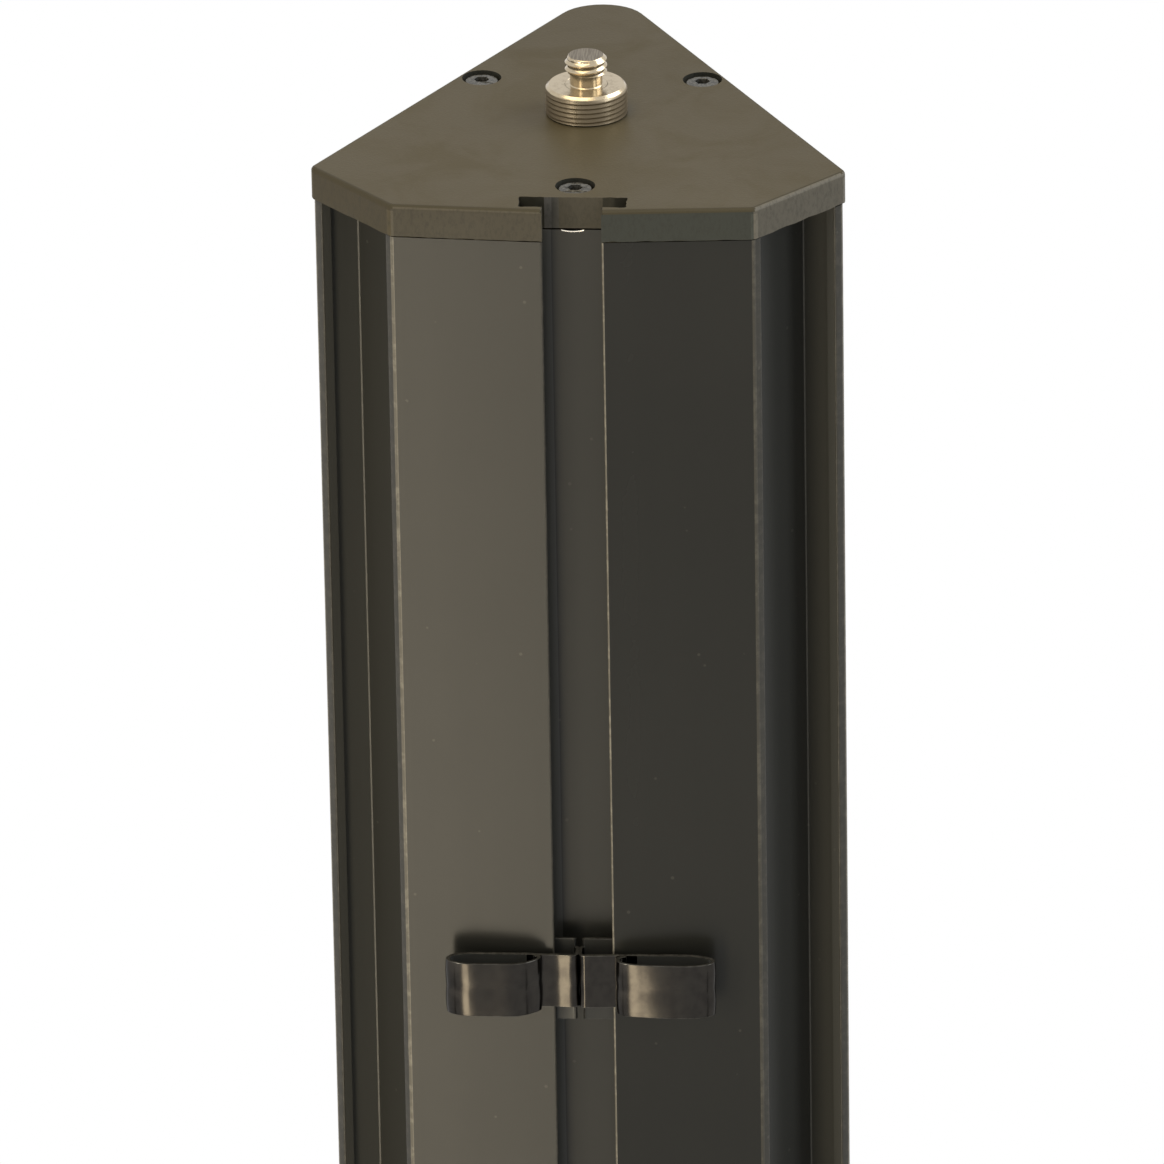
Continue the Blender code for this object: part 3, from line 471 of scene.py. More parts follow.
def speck_group():
    """Sparse small specks, such as dust and tiny chips."""
    inputs = [("Cells", "NodeSocketFloat", 260.0), ("Share", "NodeSocketFloat", 0.06)]
    tree, given, put = new_group("specks", inputs, ["Mask"])
    cells = add_node(tree, "TexVoronoi", {"Vector": given["Place"], "Scale": given["Cells"]})
    spread = add_node(tree, "SeparateColor", {"Color": cells.outputs["Color"]})
    chosen = math_node(tree, "LESS_THAN", spread.outputs["Red"], given["Share"])
    near = ranged(tree, cells.outputs["Distance"], 0.10, 0.18, 1.0, 0.0)
    feed(tree, put["Mask"], math_node(tree, "MULTIPLY", chosen, near))


handling_group()
wear_group()
speck_group()
print("shared effects:", sorted(groups))


# %% A finish and its parts
class Finish:
    """A material in the making: its shader, its colour so far, and what its patterns read."""

    def __init__(self, name, colour, roughness, metallic=0.0, ior=1.5):
        self.name = name
        self.material = bpy.data.materials.new(name)
        self.material.use_nodes = True
        self.tree = self.material.node_tree
        self.shader = self.tree.nodes["Principled BSDF"]
        self.put("Base Color", (*colour, 1))
        self.put("Roughness", roughness)
        self.put("Metallic", metallic)
        self.put("IOR", ior)
        self.place = self.attribute("lie", "Vector")
        self.worn = self.attribute("worn")
        self.handled = self.effect("handled")
        self.tone = None

    def put(self, title, value):
        feed(self.tree, self.shader.inputs[title], value)

    def attribute(self, name, output="Fac"):
        return add_node(self.tree, "Attribute", attribute_name=name).outputs[output]

    def effect(self, name, **inputs):
        """Places a shared effect in the tree, and returns what it puts out."""
        given = {"Place": self.place, **inputs}
        return add_node(self.tree, "Group", given, node_tree=groups[name]).outputs

    def pattern(self, scale, detail=3.0, roughness=0.55):
        """Noise over the piece. Three scales in a tuple stretch it along the three axes."""
        if isinstance(scale, tuple):
            return noise(self.tree, stretched(self.tree, self.place, scale), 1.0, detail, roughness)
        return noise(self.tree, self.place, scale, detail, roughness)

    def between(self, value, low, high):
        return ranged(self.tree, value, low, high)

    def mixed(self, mask, first, second):
        """A colour that goes from the first to the second by a mask. Either may be a socket."""
        node = add_node(self.tree, "Mix", data_type="RGBA")
        colours = [socket for socket in node.inputs if socket.type == "RGBA"]
        for socket, value in zip(colours, (first, second)):
            feed(self.tree, socket, (*value, 1) if isinstance(value, tuple) else value)
        feed(self.tree, next(socket for socket in node.inputs if socket.type == "VALUE"), mask)
        return next(socket for socket in node.outputs if socket.type == "RGBA")

    def lay(self, mask, colour, by=None):
        """Lays a colour over the tone so far, as far as a mask says, perhaps scaled first."""
        self.tone = self.mixed(mask if by is None else self.scaled(mask, by), self.tone, colour)

    def speckle(self, cells, share, by, colour):
        self.lay(self.effect("specks", Cells=cells, Share=share)["Mask"], colour, by)

    def scaled(self, value, by, plus=0.0):
        return math_node(self.tree, "MULTIPLY_ADD", value, by, plus)

    def sum_of(self, *parts):
        """A sum of masks, each of them given as (mask, by) or (mask, by, plus)."""
        total = self.scaled(*parts[0])
        for part in parts[1:]:
            total = math_node(self.tree, "ADD", total, self.scaled(*part))
        return total

    def bump(self, height, depth, after=None):
        """A bump of a real depth in metres, on top of an earlier one if there is one."""
        inputs = {"Strength": 1.0, "Distance": depth, "Height": height}
        if after is not None:
            inputs["Normal"] = after
        normal = add_node(self.tree, "Bump", inputs).outputs["Normal"]
        self.put("Normal", normal)
        return normal

    def done(self):
        self.put("Base Color", self.tone)
        finishes[self.name] = self.material
        print("finish:", self.name, "of", len(self.tree.nodes), "nodes")


# %% [markdown]
# Black anodising is a dyed oxide skin: nearly black itself, with a satin shine from the metal
# drawn under it. So its own colour is very dark and its look comes from what it mirrors. The
# extrusion die's lines run up it. Its corners and lips are painted paler, as painted highlights
# with a little wear, and the walls inside the channels and the slot are painted paler as painted
# fill that lightens their shade.

# %% Black anodised column
made = Finish("black_anodised", (0.016, 0.0155, 0.0125), 0.26, ior=1.29)
grain = made.effect("lengthwise_grain")
broken = made.effect("edge_wear", Worn=made.worn)["Mask"]
bare = made.attribute("bare")
made.tone = made.mixed(made.handled["Broad"], (0.014, 0.0138, 0.0112), (0.018, 0.0176, 0.0145))
made.speckle(420.0, 0.05, 0.3, (0.09, 0.085, 0.07))
# Painted fill: walls deep in the channels and the slot, which lie in shade, are painted paler.
made.lay(made.attribute("recess"), (0.115, 0.115, 0.105))
# Painted highlights along the column's long edges, with a little real wear on rounded edges.
made.lay(made.sum_of((made.worn, 0.5), (broken, 0.35)), (0.24, 0.22, 0.175))
made.lay(bare, (0.72, 0.68, 0.60))
made.put("Metallic", bare)
made.put("Roughness", made.sum_of((made.handled["Smudges"], 0.012, 0.23), (grain["Bands"], 0.05)))
fine = made.bump(grain["Lines"], 0.003 * MM)
made.bump(made.effect("fine_skin", Size=5200.0)["Height"], 0.004 * MM, fine)
made.done()

# %% [markdown]
# The cap is sawn from a matt plastic plate, a warm brownish black. It scatters more light than the
# column, and shows a fine pebbled skin and a few pale scuffs. Its sides, where the saw went, each
# have a tone of their own, painted light and shade for how the lamps fall on each side, which the
# mesh carries as side_tone wherever its rubbed mask is 1. Its rounded rim is painted darker as a
# painted shade band, and the walls of the notch's arms darker still as painted shade.

# %% Black plastic
made = Finish("black_plastic", (0.068, 0.056, 0.033), 0.5, ior=1.2)
skin = made.effect("fine_skin", Size=2100.0)["Height"]
rubbed = made.attribute("rubbed")
streaks = made.between(made.pattern((700, 1500, 1500), 3.0, 0.7), 0.42, 0.72)
sawn = math_node(made.tree, "MULTIPLY", streaks, rubbed)
made.tone = made.mixed(made.handled["Broad"], (0.064, 0.053, 0.030), (0.076, 0.064, 0.038))
made.lay(skin, (0.052, 0.045, 0.029), 0.5)
made.speckle(300.0, 0.05, 0.4, (0.17, 0.16, 0.12))
# Painted shade band: the worn faces, mostly the cap's rounded rim, are painted darker.
made.lay(made.worn, (0.030, 0.028, 0.020), 0.45)
# Painted light and shade for each side of the cap; a plain darker tone on the other mouldings.
made.lay(rubbed, made.attribute("side_tone", "Vector"))
made.lay(sawn, (0.026, 0.026, 0.021), 0.35)
# Painted shade on the walls of the notch's arms, which lie behind the slot's lips.
made.lay(made.attribute("bare"), (0.028, 0.027, 0.021))
made.put("Roughness", made.scaled(made.handled["Smudges"], 0.12, 0.42))
made.bump(skin, 0.035 * MM)
made.done()

# %% [markdown]
# The boom thread is steel with a bright nickel plate, a little yellow. Polished metal shows only
# what is round it, so roughness and tiny scratches are what tell it from a mirror. The thread's
# side has random stains, the collar's side is painted darker all round as painted shade except in
# two pale painted highlight streaks, and the stud's end is a grey saw cut.

# %% Nickel plate
made = Finish("nickel", (0.50, 0.44, 0.33), 0.2, metallic=1.0)
sawn = made.attribute("bare")
scratches = made.pattern((900, 3500, 260))
stain = made.pattern(700.0, 4.0, 0.65)
cut = made.mixed(made.between(scratches, 0.35, 0.65), (0.14, 0.118, 0.088), (0.24, 0.21, 0.165))
made.tone = made.mixed(made.between(stain, 0.42, 0.76), (0.50, 0.42, 0.295), (0.40, 0.33, 0.225))
made.speckle(900.0, 0.12, 0.35, (0.25, 0.20, 0.13))
# On the collar the worn mask is painted shade round its side, lighter in two painted highlight streaks.
made.lay(made.worn, (0.21, 0.17, 0.115), 0.7)
made.lay(sawn, cut)
made.put("Roughness", made.sum_of(
    (made.handled["Smudges"], 0.08, 0.14), (stain, 0.12), (sawn, 0.22), (made.worn, 0.2),
))
made.bump(scratches, 0.006 * MM)
made.done()

# %% [markdown]
# The clips are spring steel with a black oxide that has gone to a smoky sheen with wear. It is a
# metal, so it mirrors the lamps in clear bands, only darkly. Its cut edges are paler. Where the
# mask named recess is set, the steel is made non-metal and grey: on the clips' loop insides, tabs
# and edges as painted fill that lightens their shade, and on the cap screws as a dull speckled
# head.

# %% Dark steel
made = Finish("dark_steel", (0.038, 0.035, 0.031), 0.22, metallic=1.0, ior=1.3)
blotch = made.pattern(480.0, 4.0, 0.6)
mottle = made.between(made.pattern(1500.0, 4.0, 0.7), 0.4, 0.62)
bare, matt_and_painted_fill = made.attribute("bare"), made.attribute("recess")
cut = made.mixed(made.between(blotch, 0.35, 0.65), (0.13, 0.125, 0.11), (0.06, 0.057, 0.05))
speckled = made.mixed(mottle, (0.022, 0.022, 0.020), (0.095, 0.093, 0.085))
inside = made.mixed(bare, (0.042, 0.042, 0.038), speckled)
patchy = made.between(blotch, 0.35, 0.7)
made.tone = made.mixed(patchy, (0.036, 0.033, 0.029), (0.028, 0.0255, 0.023))
made.lay(math_node(made.tree, "ADD", made.worn, bare), cut)
# Painted fill in the clip's shaded parts, and a dull speckled head on the screws.
made.lay(matt_and_painted_fill, inside)
made.put("Metallic", made.scaled(matt_and_painted_fill, -1.0, 1.0))
made.put("Roughness", made.sum_of((made.handled["Smudges"], 0.04, 0.14), (blotch, 0.05)))
fine = made.bump(made.pattern((2600, 160, 160), 2.0), 0.003 * MM)
made.bump(blotch, 0.004 * MM, fine)
made.done()

# %% [markdown]
# Hidden nuts, washers, pivot pins and channel bars are zinc plated: pale grey, faintly blotched
# where the plating has passivated.

# %% Zinc plate
made = Finish("zinc", (0.46, 0.46, 0.45), 0.36, metallic=1.0)
crystals = add_node(made.tree, "TexVoronoi", {"Vector": made.place, "Scale": 520.0})
patches = add_node(made.tree, "SeparateColor", {"Color": crystals.outputs["Color"]}).outputs["Red"]
made.tone = made.mixed(patches, (0.41, 0.41, 0.41), (0.54, 0.54, 0.52))
made.put("Roughness", made.sum_of((made.handled["Smudges"], 0.1, 0.26), (patches, 0.12)))
made.bump(made.effect("fine_skin", Size=2600.0)["Height"], 0.01 * MM)
made.done()

# %% [markdown]
# The base and the brackets are die castings in black powder coat. The powder melts into a low
# orange-peel skin, with chips on the corners that show the grey casting.

# %% Powder coated castings
made = Finish("painted_casting", (0.030, 0.029, 0.025), 0.46, ior=1.45)
made.tone = made.mixed(made.handled["Broad"], (0.027, 0.026, 0.022), (0.036, 0.034, 0.029))
made.speckle(180.0, 0.05, 0.35, (0.12, 0.115, 0.10))
made.lay(made.effect("edge_wear", Worn=made.worn)["Mask"], (0.20, 0.20, 0.19), 0.45)
made.put("Roughness", made.scaled(made.handled["Smudges"], 0.12, 0.38))
peel = made.bump(made.effect("fine_skin", Size=650.0)["Height"], 0.05 * MM)
made.bump(made.effect("fine_skin", Size=3000.0)["Height"], 0.008 * MM, peel)
made.done()

# %% [markdown]
# The leg and arm tubes are anodised like the column, a shade greyer, with the lines of their own
# die running along them.

# %% Black tube
made = Finish("black_tube", (0.028, 0.0265, 0.022), 0.36, ior=1.42)
grain = made.effect("lengthwise_grain")
made.tone = made.mixed(made.handled["Broad"], (0.024, 0.0225, 0.018), (0.033, 0.031, 0.026))
made.speckle(300.0, 0.04, 0.3, (0.11, 0.105, 0.09))
made.lay(made.effect("edge_wear", Worn=made.worn)["Mask"], (0.13, 0.12, 0.10), 0.45)
made.put("Roughness", made.sum_of((made.handled["Smudges"], 0.08, 0.31), (grain["Bands"], 0.08)))
made.bump(grain["Lines"], 0.006 * MM)
made.done()

# %% [markdown]
# Feet and arm pads are black rubber. Rubber is rough, greys with specks of dust, and takes a dull
# polish where something slides on it.

# %% Rubber
made = Finish("rubber", (0.022, 0.022, 0.021), 0.82, ior=1.4)
made.tone = made.mixed(made.handled["Smudges"], (0.019, 0.019, 0.018), (0.034, 0.033, 0.030))
made.speckle(240.0, 0.10, 0.4, (0.11, 0.105, 0.095))
made.lay(made.effect("edge_wear", Worn=made.worn)["Mask"], (0.07, 0.068, 0.062), 0.3)
made.put("Roughness", made.scaled(made.handled["Broad"], -0.14, 0.88))
made.bump(made.effect("fine_skin", Size=1300.0)["Height"], 0.05 * MM)
made.done()

# %% [markdown]
# The column is one aluminium extrusion. Its CAD solid already has the die's small radii, in three
# flats each, so the copy keeps them and only its shading is smoothed. What a surface is for the
# finish depends on where it stands: how deep in a corner channel, or how near the slot.

# %% Column: where its walls are
FRONT_CORNER = Vector((34.561, -66.341)) * MM
SIDE_CORNER = Vector((50.895, -47.855)) * MM
MOUTH = (SIDE_CORNER - FRONT_CORNER).normalized()
MOUTH_END = 25 * MM
INWARD = Vector((-MOUTH.y, MOUTH.x))
CHANNEL_FAR_WALL, CHANNEL_FLOOR, CHANNEL_LIP = 23.4 * MM, 9.6 * MM, 22.2 * MM
LIP_FROM, LIP_TO = 0.5 * MM, 2.3 * MM
SLOT_HALF = 10.2 * MM
SLOT_BACK_Y = SECTION_Y + 4.9 * MM
SHADE_STEPS = (-4.4 * MM, -2.7 * MM)


def in_channel(point):
    """How far across a corner channel's mouth a point is and how deep, alike on both sides."""
    offset = Vector((abs(point.x), point.y)) - FRONT_CORNER
    return offset.dot(MOUTH), offset.dot(INWARD)


def on_slot_back(point):
    return abs(point.y - SLOT_BACK_Y) < CLOSE


print("slot's back at y", round(SLOT_BACK_Y / MM, 2), "mm")

# %% Column: painted fill in its hollows
# Painted fill for each wall that lies in shade; the left and right sides differ, as the lamps do.
LIP_PAINTED_FILL, SIDE_PAINTED_FILL = 0.5, 0.6
FAR_WALL_PAINTED_FILL = {"left": 0.7, "right": 0.4}
FLOOR_PAINTED_FILL = {"left": 0.18, "right": 0.27}
SLOT_PAINTED_FILL, SLOT_STEP_PAINTED_FILL = 0.15, (0.55, 0.14)


def painted_fill_at(point):
    """How much painted fill lightens a wall inside a corner channel or the slot, where shade lies."""
    across, deep = in_channel(point)
    side = "left" if point.x < 0 else "right"
    if LIP_FROM < deep < LIP_TO and abs(across - CHANNEL_LIP) < CLOSE:
        return LIP_PAINTED_FILL
    if LIP_TO < deep < CHANNEL_FLOOR + CLOSE and LIP_FROM < across < CHANNEL_FAR_WALL + CLOSE:
        if across > CHANNEL_FAR_WALL - CLOSE:
            return FAR_WALL_PAINTED_FILL[side]
        return FLOOR_PAINTED_FILL[side] if deep > CHANNEL_FLOOR - CLOSE else SIDE_PAINTED_FILL
    if on_slot_back(point) and -SLOT_HALF < point.x < SHADE_STEPS[1]:
        return SLOT_STEP_PAINTED_FILL[0 if point.x < SHADE_STEPS[0] else 1]
    in_slot = SECTION_Y + 0.7 * MM < point.y < SECTION_Y + 6 * MM
    return SLOT_PAINTED_FILL if abs(point.x) < SLOT_HALF + CLOSE and in_slot else 0.0


# The painted fill on the left channel's floor.
print("painted fill on the channel's floor at the left:", FLOOR_PAINTED_FILL["left"])

# %% Column: painted highlights on its long edges
# Painted highlights on the long edges: most on the slot's right lip and the front left corner.
LIP_PAINTED_HIGHLIGHT = 0.16
SLOT_PAINTED_HIGHLIGHT, FRONT_PAINTED_HIGHLIGHT, SIDE_PAINTED_HIGHLIGHT, OTHER_PAINTED_HIGHLIGHT = 1.0, {"left": 0.95, "right": 0.35}, 0.85, 0.2
ROUNDING_WIDE, ROUNDING_AREA = 0.45 * MM, 3 * MM * 1.3


def painted_highlight_at(point):
    """How much painted highlight a long edge carries: the slot's right lip and the corners most."""
    if abs(point.x) < 7 * MM:
        return SLOT_PAINTED_HIGHLIGHT if point.x > 0 and point.y < SECTION_Y + MM else OTHER_PAINTED_HIGHLIGHT
    across = in_channel(point)[0]
    if across < MM:
        return FRONT_PAINTED_HIGHLIGHT["left" if point.x < 0 else "right"]
    return SIDE_PAINTED_HIGHLIGHT if across > 23.8 * MM else OTHER_PAINTED_HIGHLIGHT


def is_long_rounding(face):
    upright = abs(face.normal.z) < 0.1 and len(face.verts) == 4 and face.calc_area() < ROUNDING_AREA
    return upright and min(edge.calc_length() for edge in face.edges) < ROUNDING_WIDE


def channel_corners(work):
    """The long inner corners between each channel's floor and its far wall."""
    found = []
    for edge in work.edges:
        across, deep = in_channel(middle_of_edge(edge))
        at_corner = abs(across - CHANNEL_FAR_WALL) < CLOSE and abs(deep - CHANNEL_FLOOR) < CLOSE
        if at_corner and edge.calc_length() > 1:
            found.append(edge)
    return found


# LIP_PAINTED_HIGHLIGHT is a faint painted highlight on the channels' lips.
print("painted highlight on the lips:", LIP_PAINTED_HIGHLIGHT)

# %% [markdown]
# Just under the cap's notch the sawn end of the slot's back shows a short bright burr. It is made
# for real: the middle of that edge is split, the new points sag along half a wave, and the edges
# between them get a bare bevel.

# %% Column: the burr under the notch
GLINT_FROM, GLINT_TO, GLINT_SAG, GLINT_WIDE = -2.2 * MM, 1.8 * MM, 0.22 * MM, 0.26 * MM
GLINT_PARTS = 6


def edge_between(first, second):
    return next(edge for edge in first.link_edges if edge.other_vert(first) == second)


def burr_edges(edge):
    """Splits the middle of an edge into parts that sag, and returns them."""
    left, right_end = sorted(edge.verts, key=lambda v: v.co.x)
    split = []
    for n in range(GLINT_PARTS + 1):
        stop = GLINT_FROM + n * (GLINT_TO - GLINT_FROM) / GLINT_PARTS
        share = (stop - left.co.x) / (right_end.co.x - left.co.x)
        left = bmesh.utils.edge_split(edge_between(left, right_end), left, share)[1]
        split.append(left)
    for n, vertex in enumerate(split):
        vertex.co.z -= GLINT_SAG * math.sin(math.pi * n / GLINT_PARTS)
    return [edge_between(*pair) for pair in zip(split, split[1:])]


def at_slot_back_top(p):
    behind_slot = abs(p.x) < MM and SECTION_Y + 2 * MM < p.y < SECTION_Y + 6 * MM
    return p.z > COLUMN_HIGH.z - CLOSE and behind_slot


print("burr:", round((GLINT_TO - GLINT_FROM) / MM, 2), "mm long")

# %% [markdown]
# The column's sawn lower end gets a small deburred edge, and the inner corners of the channels a
# single flat, which carries a faint painted highlight. The slot's back is cut in three strips,
# because the photograph's slot is paler at its left edge, and each strip takes its own painted
# fill, the most at the left, where the left lip's shadow falls.

# %% Column
SQUARE = math.radians(70)


def make_column():
    work = copy_of("column")
    foot = sharp_edges(work, SQUARE, where=lambda p: p.z < COLUMN_LOW.z + MM)
    soften(work, foot, 0.25 * MM)
    worn = wear_and_painted_light_layer(work)
    bare = work.faces.layers.float.new("bare")
    recess = work.faces.layers.float.new("recess")
    for edge in sharp_edges(work, SQUARE, where=at_slot_back_top):
        for face in soften(work, burr_edges(edge), GLINT_WIDE):
            face[bare] = 1.0
    soften(work, channel_corners(work), 0.2 * MM, 1, slide=False)
    # Narrow long roundings get painted highlights by their place.
    for face in work.faces:
        if is_long_rounding(face):
            face[worn] = painted_highlight_at(face.calc_center_median())
    for step in SHADE_STEPS:
        facing_front = [f for f in work.faces if f.normal.y < -0.9]
        backs = [f for f in facing_front if on_slot_back(f.calc_center_median())]
        cut_faces(work, backs, (step, 0, 0), (1, 0, 0))
    for face in work.faces:
        middle = face.calc_center_median()
        across, deep = in_channel(middle)
        # Painted fill on the walls that lie in shade.
        face[recess] = painted_fill_at(middle)
        # Flat faces on the channels' lips get a faint painted highlight.
        on_lip = abs(deep) < CLOSE and 0 < across < MOUTH_END and abs(face.normal.z) < 0.1
        if on_lip and face[worn] == 0:
            face[worn] = LIP_PAINTED_HIGHLIGHT
    return finish_piece("column_extrusion", work, "column")


column = make_column()
print("column faces:", len(column.data.polygons))

# %% [markdown]
# The cap is a flat plate, rounded along its upper edge and only broken along its lower one. The
# rounding is broad along the front and its two corners and narrow behind them, so one narrow bevel
# is made all round, and its points are then moved outwards where the rim is broad. The flat top is
# filled anew between the edges that have moved.

# %% Cap: its places
NECK_HALF = 5.65 * MM
SCREW_PLACES = [middle_of("cap_screw_" + name) for name in ("front", "left", "right")]
BOOM_PLACE = middle_of("boom_stud")


def in_notch(p):
    in_depth = SECTION_Y - 0.5 * MM < p.y < SLOT_BACK_Y + 0.3 * MM
    return abs(p.x) < SLOT_HALF + 0.3 * MM and in_depth


def near_hole(p, reach=4.2 * MM):
    return any((p.xy - centre.xy).length < reach for centre in SCREW_PLACES)


def on_rim(p):
    outside = abs(p.x) > SLOT_HALF + MM or p.y > SLOT_BACK_Y + 12 * MM or p.y < SECTION_Y - MM
    return p.z > CAP_TOP - CLOSE and outside and not near_hole(p)


print("cap's top at", round(CAP_TOP / MM, 1), "mm")

# %% Cap: its rim
RIM_ROUND, REAR_RIM_ROUND = 1.05 * MM, 0.42 * MM
BROAD_FROM, BROAD_OVER = -47.2 * MM, 1.5 * MM


def square_notch_mouth(work):
    """Merges the small arcs at the notch's mouth to sharp corners, above and below."""
    for side in (-1, 1):
        for lower in (False, True):
            arc = [
                v for v in work.verts
                if 0 < side * v.co.x < NECK_HALF + 0.6 * MM and v.co.y < SECTION_Y - 1.2 * MM
                and (v.co.z < CAP_TOP - 3 * MM) == lower
            ]
            corner = Vector((side * NECK_HALF, min(v.co.y for v in arc), arc[0].co.z))
            bmesh.ops.pointmerge(work, verts=arc, merge_co=corner)


def nearest_on(start, end, point):
    along = end - start
    share = min(1.0, max(0.0, (point - start).dot(along) / along.length_squared))
    return start + along * share


def widen_rim(vertex, outline):
    """Moves a point of the rounding outwards from the sharp edge, where the rim is broad."""
    flat = vertex.co.xy
    nearest = min((nearest_on(*pair, flat) for pair in outline), key=lambda p: (flat - p).length)
    share = min(1.0, max(0.0, (BROAD_FROM - nearest.y) / BROAD_OVER))
    grown = 1 + (RIM_ROUND / REAR_RIM_ROUND - 1) * share
    vertex.co.xy = nearest + (flat - nearest) * grown
    vertex.co.z = CAP_TOP - (CAP_TOP - vertex.co.z) * grown


def refill_top(work):
    """Fills the flat top again between its edges, which have moved."""
    top = CAP_TOP - 0.001 * MM
    flats = [f for f in work.faces if f.normal.z > 0.999 and f.calc_center_median().z > top]
    sides = {e for f in flats for e in f.edges}
    border = [e for e in sides if sum(f in flats for f in e.link_faces) == 1]
    border.sort(key=lambda e: tuple(e.verts[0].co) + tuple(e.verts[1].co))
    bmesh.ops.delete(work, geom=flats, context="FACES")
    bmesh.ops.triangle_fill(
        work, edges=border, use_beauty=True, use_dissolve=False, normal=(0, 0, 1),
    )


def round_rim(work):
    rim = sharp_edges(work, math.radians(60), where=on_rim)
    outline = [tuple(v.co.xy for v in edge.verts) for edge in rim]
    rounded = soften(work, rim, REAR_RIM_ROUND, 4, clamp=False, slide=False)
    for vertex in {v for f in rounded for v in f.verts}:
        widen_rim(vertex, outline)
    refill_top(work)
    print("cap rim faces:", len(rounded))


# %% [markdown]
# The T slot runs up through the cap, and there the saw left rough walls. The walls are cut finer
# and shaken a few hundredths of a millimetre, more on the slot's two arms than in its neck, which
# is what reads as sawn. The front's lower edge is cut and shaken the same way. The arms' walls are
# also painted dark, as painted shade behind the slot's lips.

# %% Cap: its sawn walls
random.seed(11)
SAWN_CELL, FRONT_CELL = 0.7 * MM, 1.31 * MM
# How far the arms' and the neck's walls are shaken, in millimetres
ARM_SHAKE, NECK_SHAKE = 0.26, 0.06
EDGE_SHAKE = 0.2 * MM
# How dark the arms' walls are painted: painted shade behind the slot's lips.
ARM_PAINTED_SHADE = 0.9


def notch_walls(work):
    return [f for f in work.faces if abs(f.normal.z) < 0.1 and in_notch(f.calc_center_median())]


def front_walls(work):
    return [
        f for f in work.faces
        if f.normal.y < -0.6 and abs(f.normal.z) < 0.1 and not in_notch(f.calc_center_median())
    ]


def by_place(vertices):
    """Vertices in an order that doesn't depend on how they were made, for the random draws."""
    return sorted(vertices, key=lambda v: tuple(v.co))


def cut_notch(work):
    cuts = [((n * SAWN_CELL, 0, 0), (1, 0, 0)) for n in range(-15, 16)]
    cuts += [((0, SECTION_Y + n * SAWN_CELL, 0), (0, 1, 0)) for n in range(-3, 8)]
    cuts += [((0, 0, CAP_TOP - n * SAWN_CELL), (0, 0, 1)) for n in range(1, 10)]
    for point, normal in cuts:
        cut_faces(work, notch_walls(work), point, normal)


def shake_notch(work, sawn):
    """Moves the walls' points in and out, and marks the slot's arms with painted shade."""
    walls = notch_walls(work)
    for face in walls:
        face[sawn] = ARM_PAINTED_SHADE if abs(face.calc_center_median().x) > NECK_HALF else 0.0
    for vertex in by_place({v for f in walls for v in f.verts}):
        if vertex.co.z <= CAP_TOP - 6.3 * MM:
            continue
        rough = ARM_SHAKE if abs(vertex.co.x) > NECK_HALF + 0.2 * MM else NECK_SHAKE
        out = Vector((0, 0, 0))
        for face in vertex.link_faces:
            if abs(face.normal.z) < 0.1:
                out += face.normal
        if out.length > 0.5:
            vertex.co += out.normalized() * random.uniform(-1, 0.2) * rough * MM


def shake_front(work):
    """Cuts the front's walls and lifts their lower points here and there."""
    for n in range(-38, 39):
        cut_faces(work, front_walls(work), (n * FRONT_CELL, 0, 0), (1, 0, 0))
    for vertex in by_place(work.verts):
        low = vertex.co.z < CAP_TOP - 6.2 * MM
        if low and vertex.co.y < -46 * MM and not in_notch(vertex.co):
            vertex.co.z += random.uniform(0, 1) ** 2 * EDGE_SHAKE


print("saw's cell:", round(SAWN_CELL / MM, 2), "mm")

# %% [markdown]
# Each side of the cap has a tone of its own, painted light and shade for how the lamps fall on
# it: paler at the front left and the right corner, darker at the front right, the left corner and
# in the screw holes. The narrow upright faces of its rounded corners carry a paler painted
# highlight, and the right corner's rim a painted highlight of its own. The notch's back has
# painted fill, palest at its left, in the same strips as the slot's back below it.

# %% Cap: the tones of its sides
# Painted light and shade for each side of the cap, and a painted highlight for the right corner's rim.
SIDE_PAINTED_LIGHT = {
    "front left": (0.064, 0.057, 0.042), "front right": (0.041, 0.044, 0.038),
    "corner left": (0.0515, 0.0437, 0.0276), "corner right": (0.098, 0.090, 0.072),
    "rear": (0.055, 0.050, 0.037), "hole": (0.036, 0.036, 0.030),
    "right rim": (0.125, 0.117, 0.098),
}
# Painted fill for the notch's back in three strips, palest at the left, in the lip's shadow.
NECK_PAINTED_FILL = ((0.060, 0.054, 0.040), (0.062, 0.060, 0.053), (0.105, 0.101, 0.092))
# How much paler a rounded corner's narrow faces are painted, as a painted highlight.
CORNER_PAINTED_HIGHLIGHT = 1.4


def side_name(normal):
    """Which side of the cap a face belongs to."""
    if normal.y > -0.1:
        return "rear"
    if abs(normal.x) > 0.4:
        return "corner right" if normal.x > 0 else "corner left"
    return "front right" if normal.x > 0 else "front left"


def corner_painted_highlight(face, name):
    """How much paler than its side a face is: a rounded corner's narrow faces carry a painted highlight."""
    lengths = [edge.calc_length() for edge in face.edges]
    narrow = len(face.verts) == 4 and min(lengths) < 0.9 * MM and max(lengths) > 4 * MM
    in_front = face.calc_center_median().y < -40 * MM
    return CORNER_PAINTED_HIGHLIGHT if narrow and in_front and name != "hole" else 1.0


def painted_side_light_of(face, sawn):
    """The painted light and shade of a face on the cap's sides, or none where the plain plastic shows."""
    middle = face.calc_center_median()
    if abs(face.normal.z) >= 0.9:
        return None
    if in_notch(middle):
        in_shade = sum(middle.x < step for step in SHADE_STEPS)
        return NECK_PAINTED_FILL[in_shade] if face[sawn] == 0 else None
    name = "hole" if near_hole(middle, 4.5 * MM) else side_name(face.normal)
    if abs(face.normal.z) < 0.3:
        return Vector(SIDE_PAINTED_LIGHT[name]) * corner_painted_highlight(face, name)
    return SIDE_PAINTED_LIGHT["right rim"] if name == "corner right" and face.normal.z > 0 else None


print("tones:", len(SIDE_PAINTED_LIGHT) + len(NECK_PAINTED_FILL))


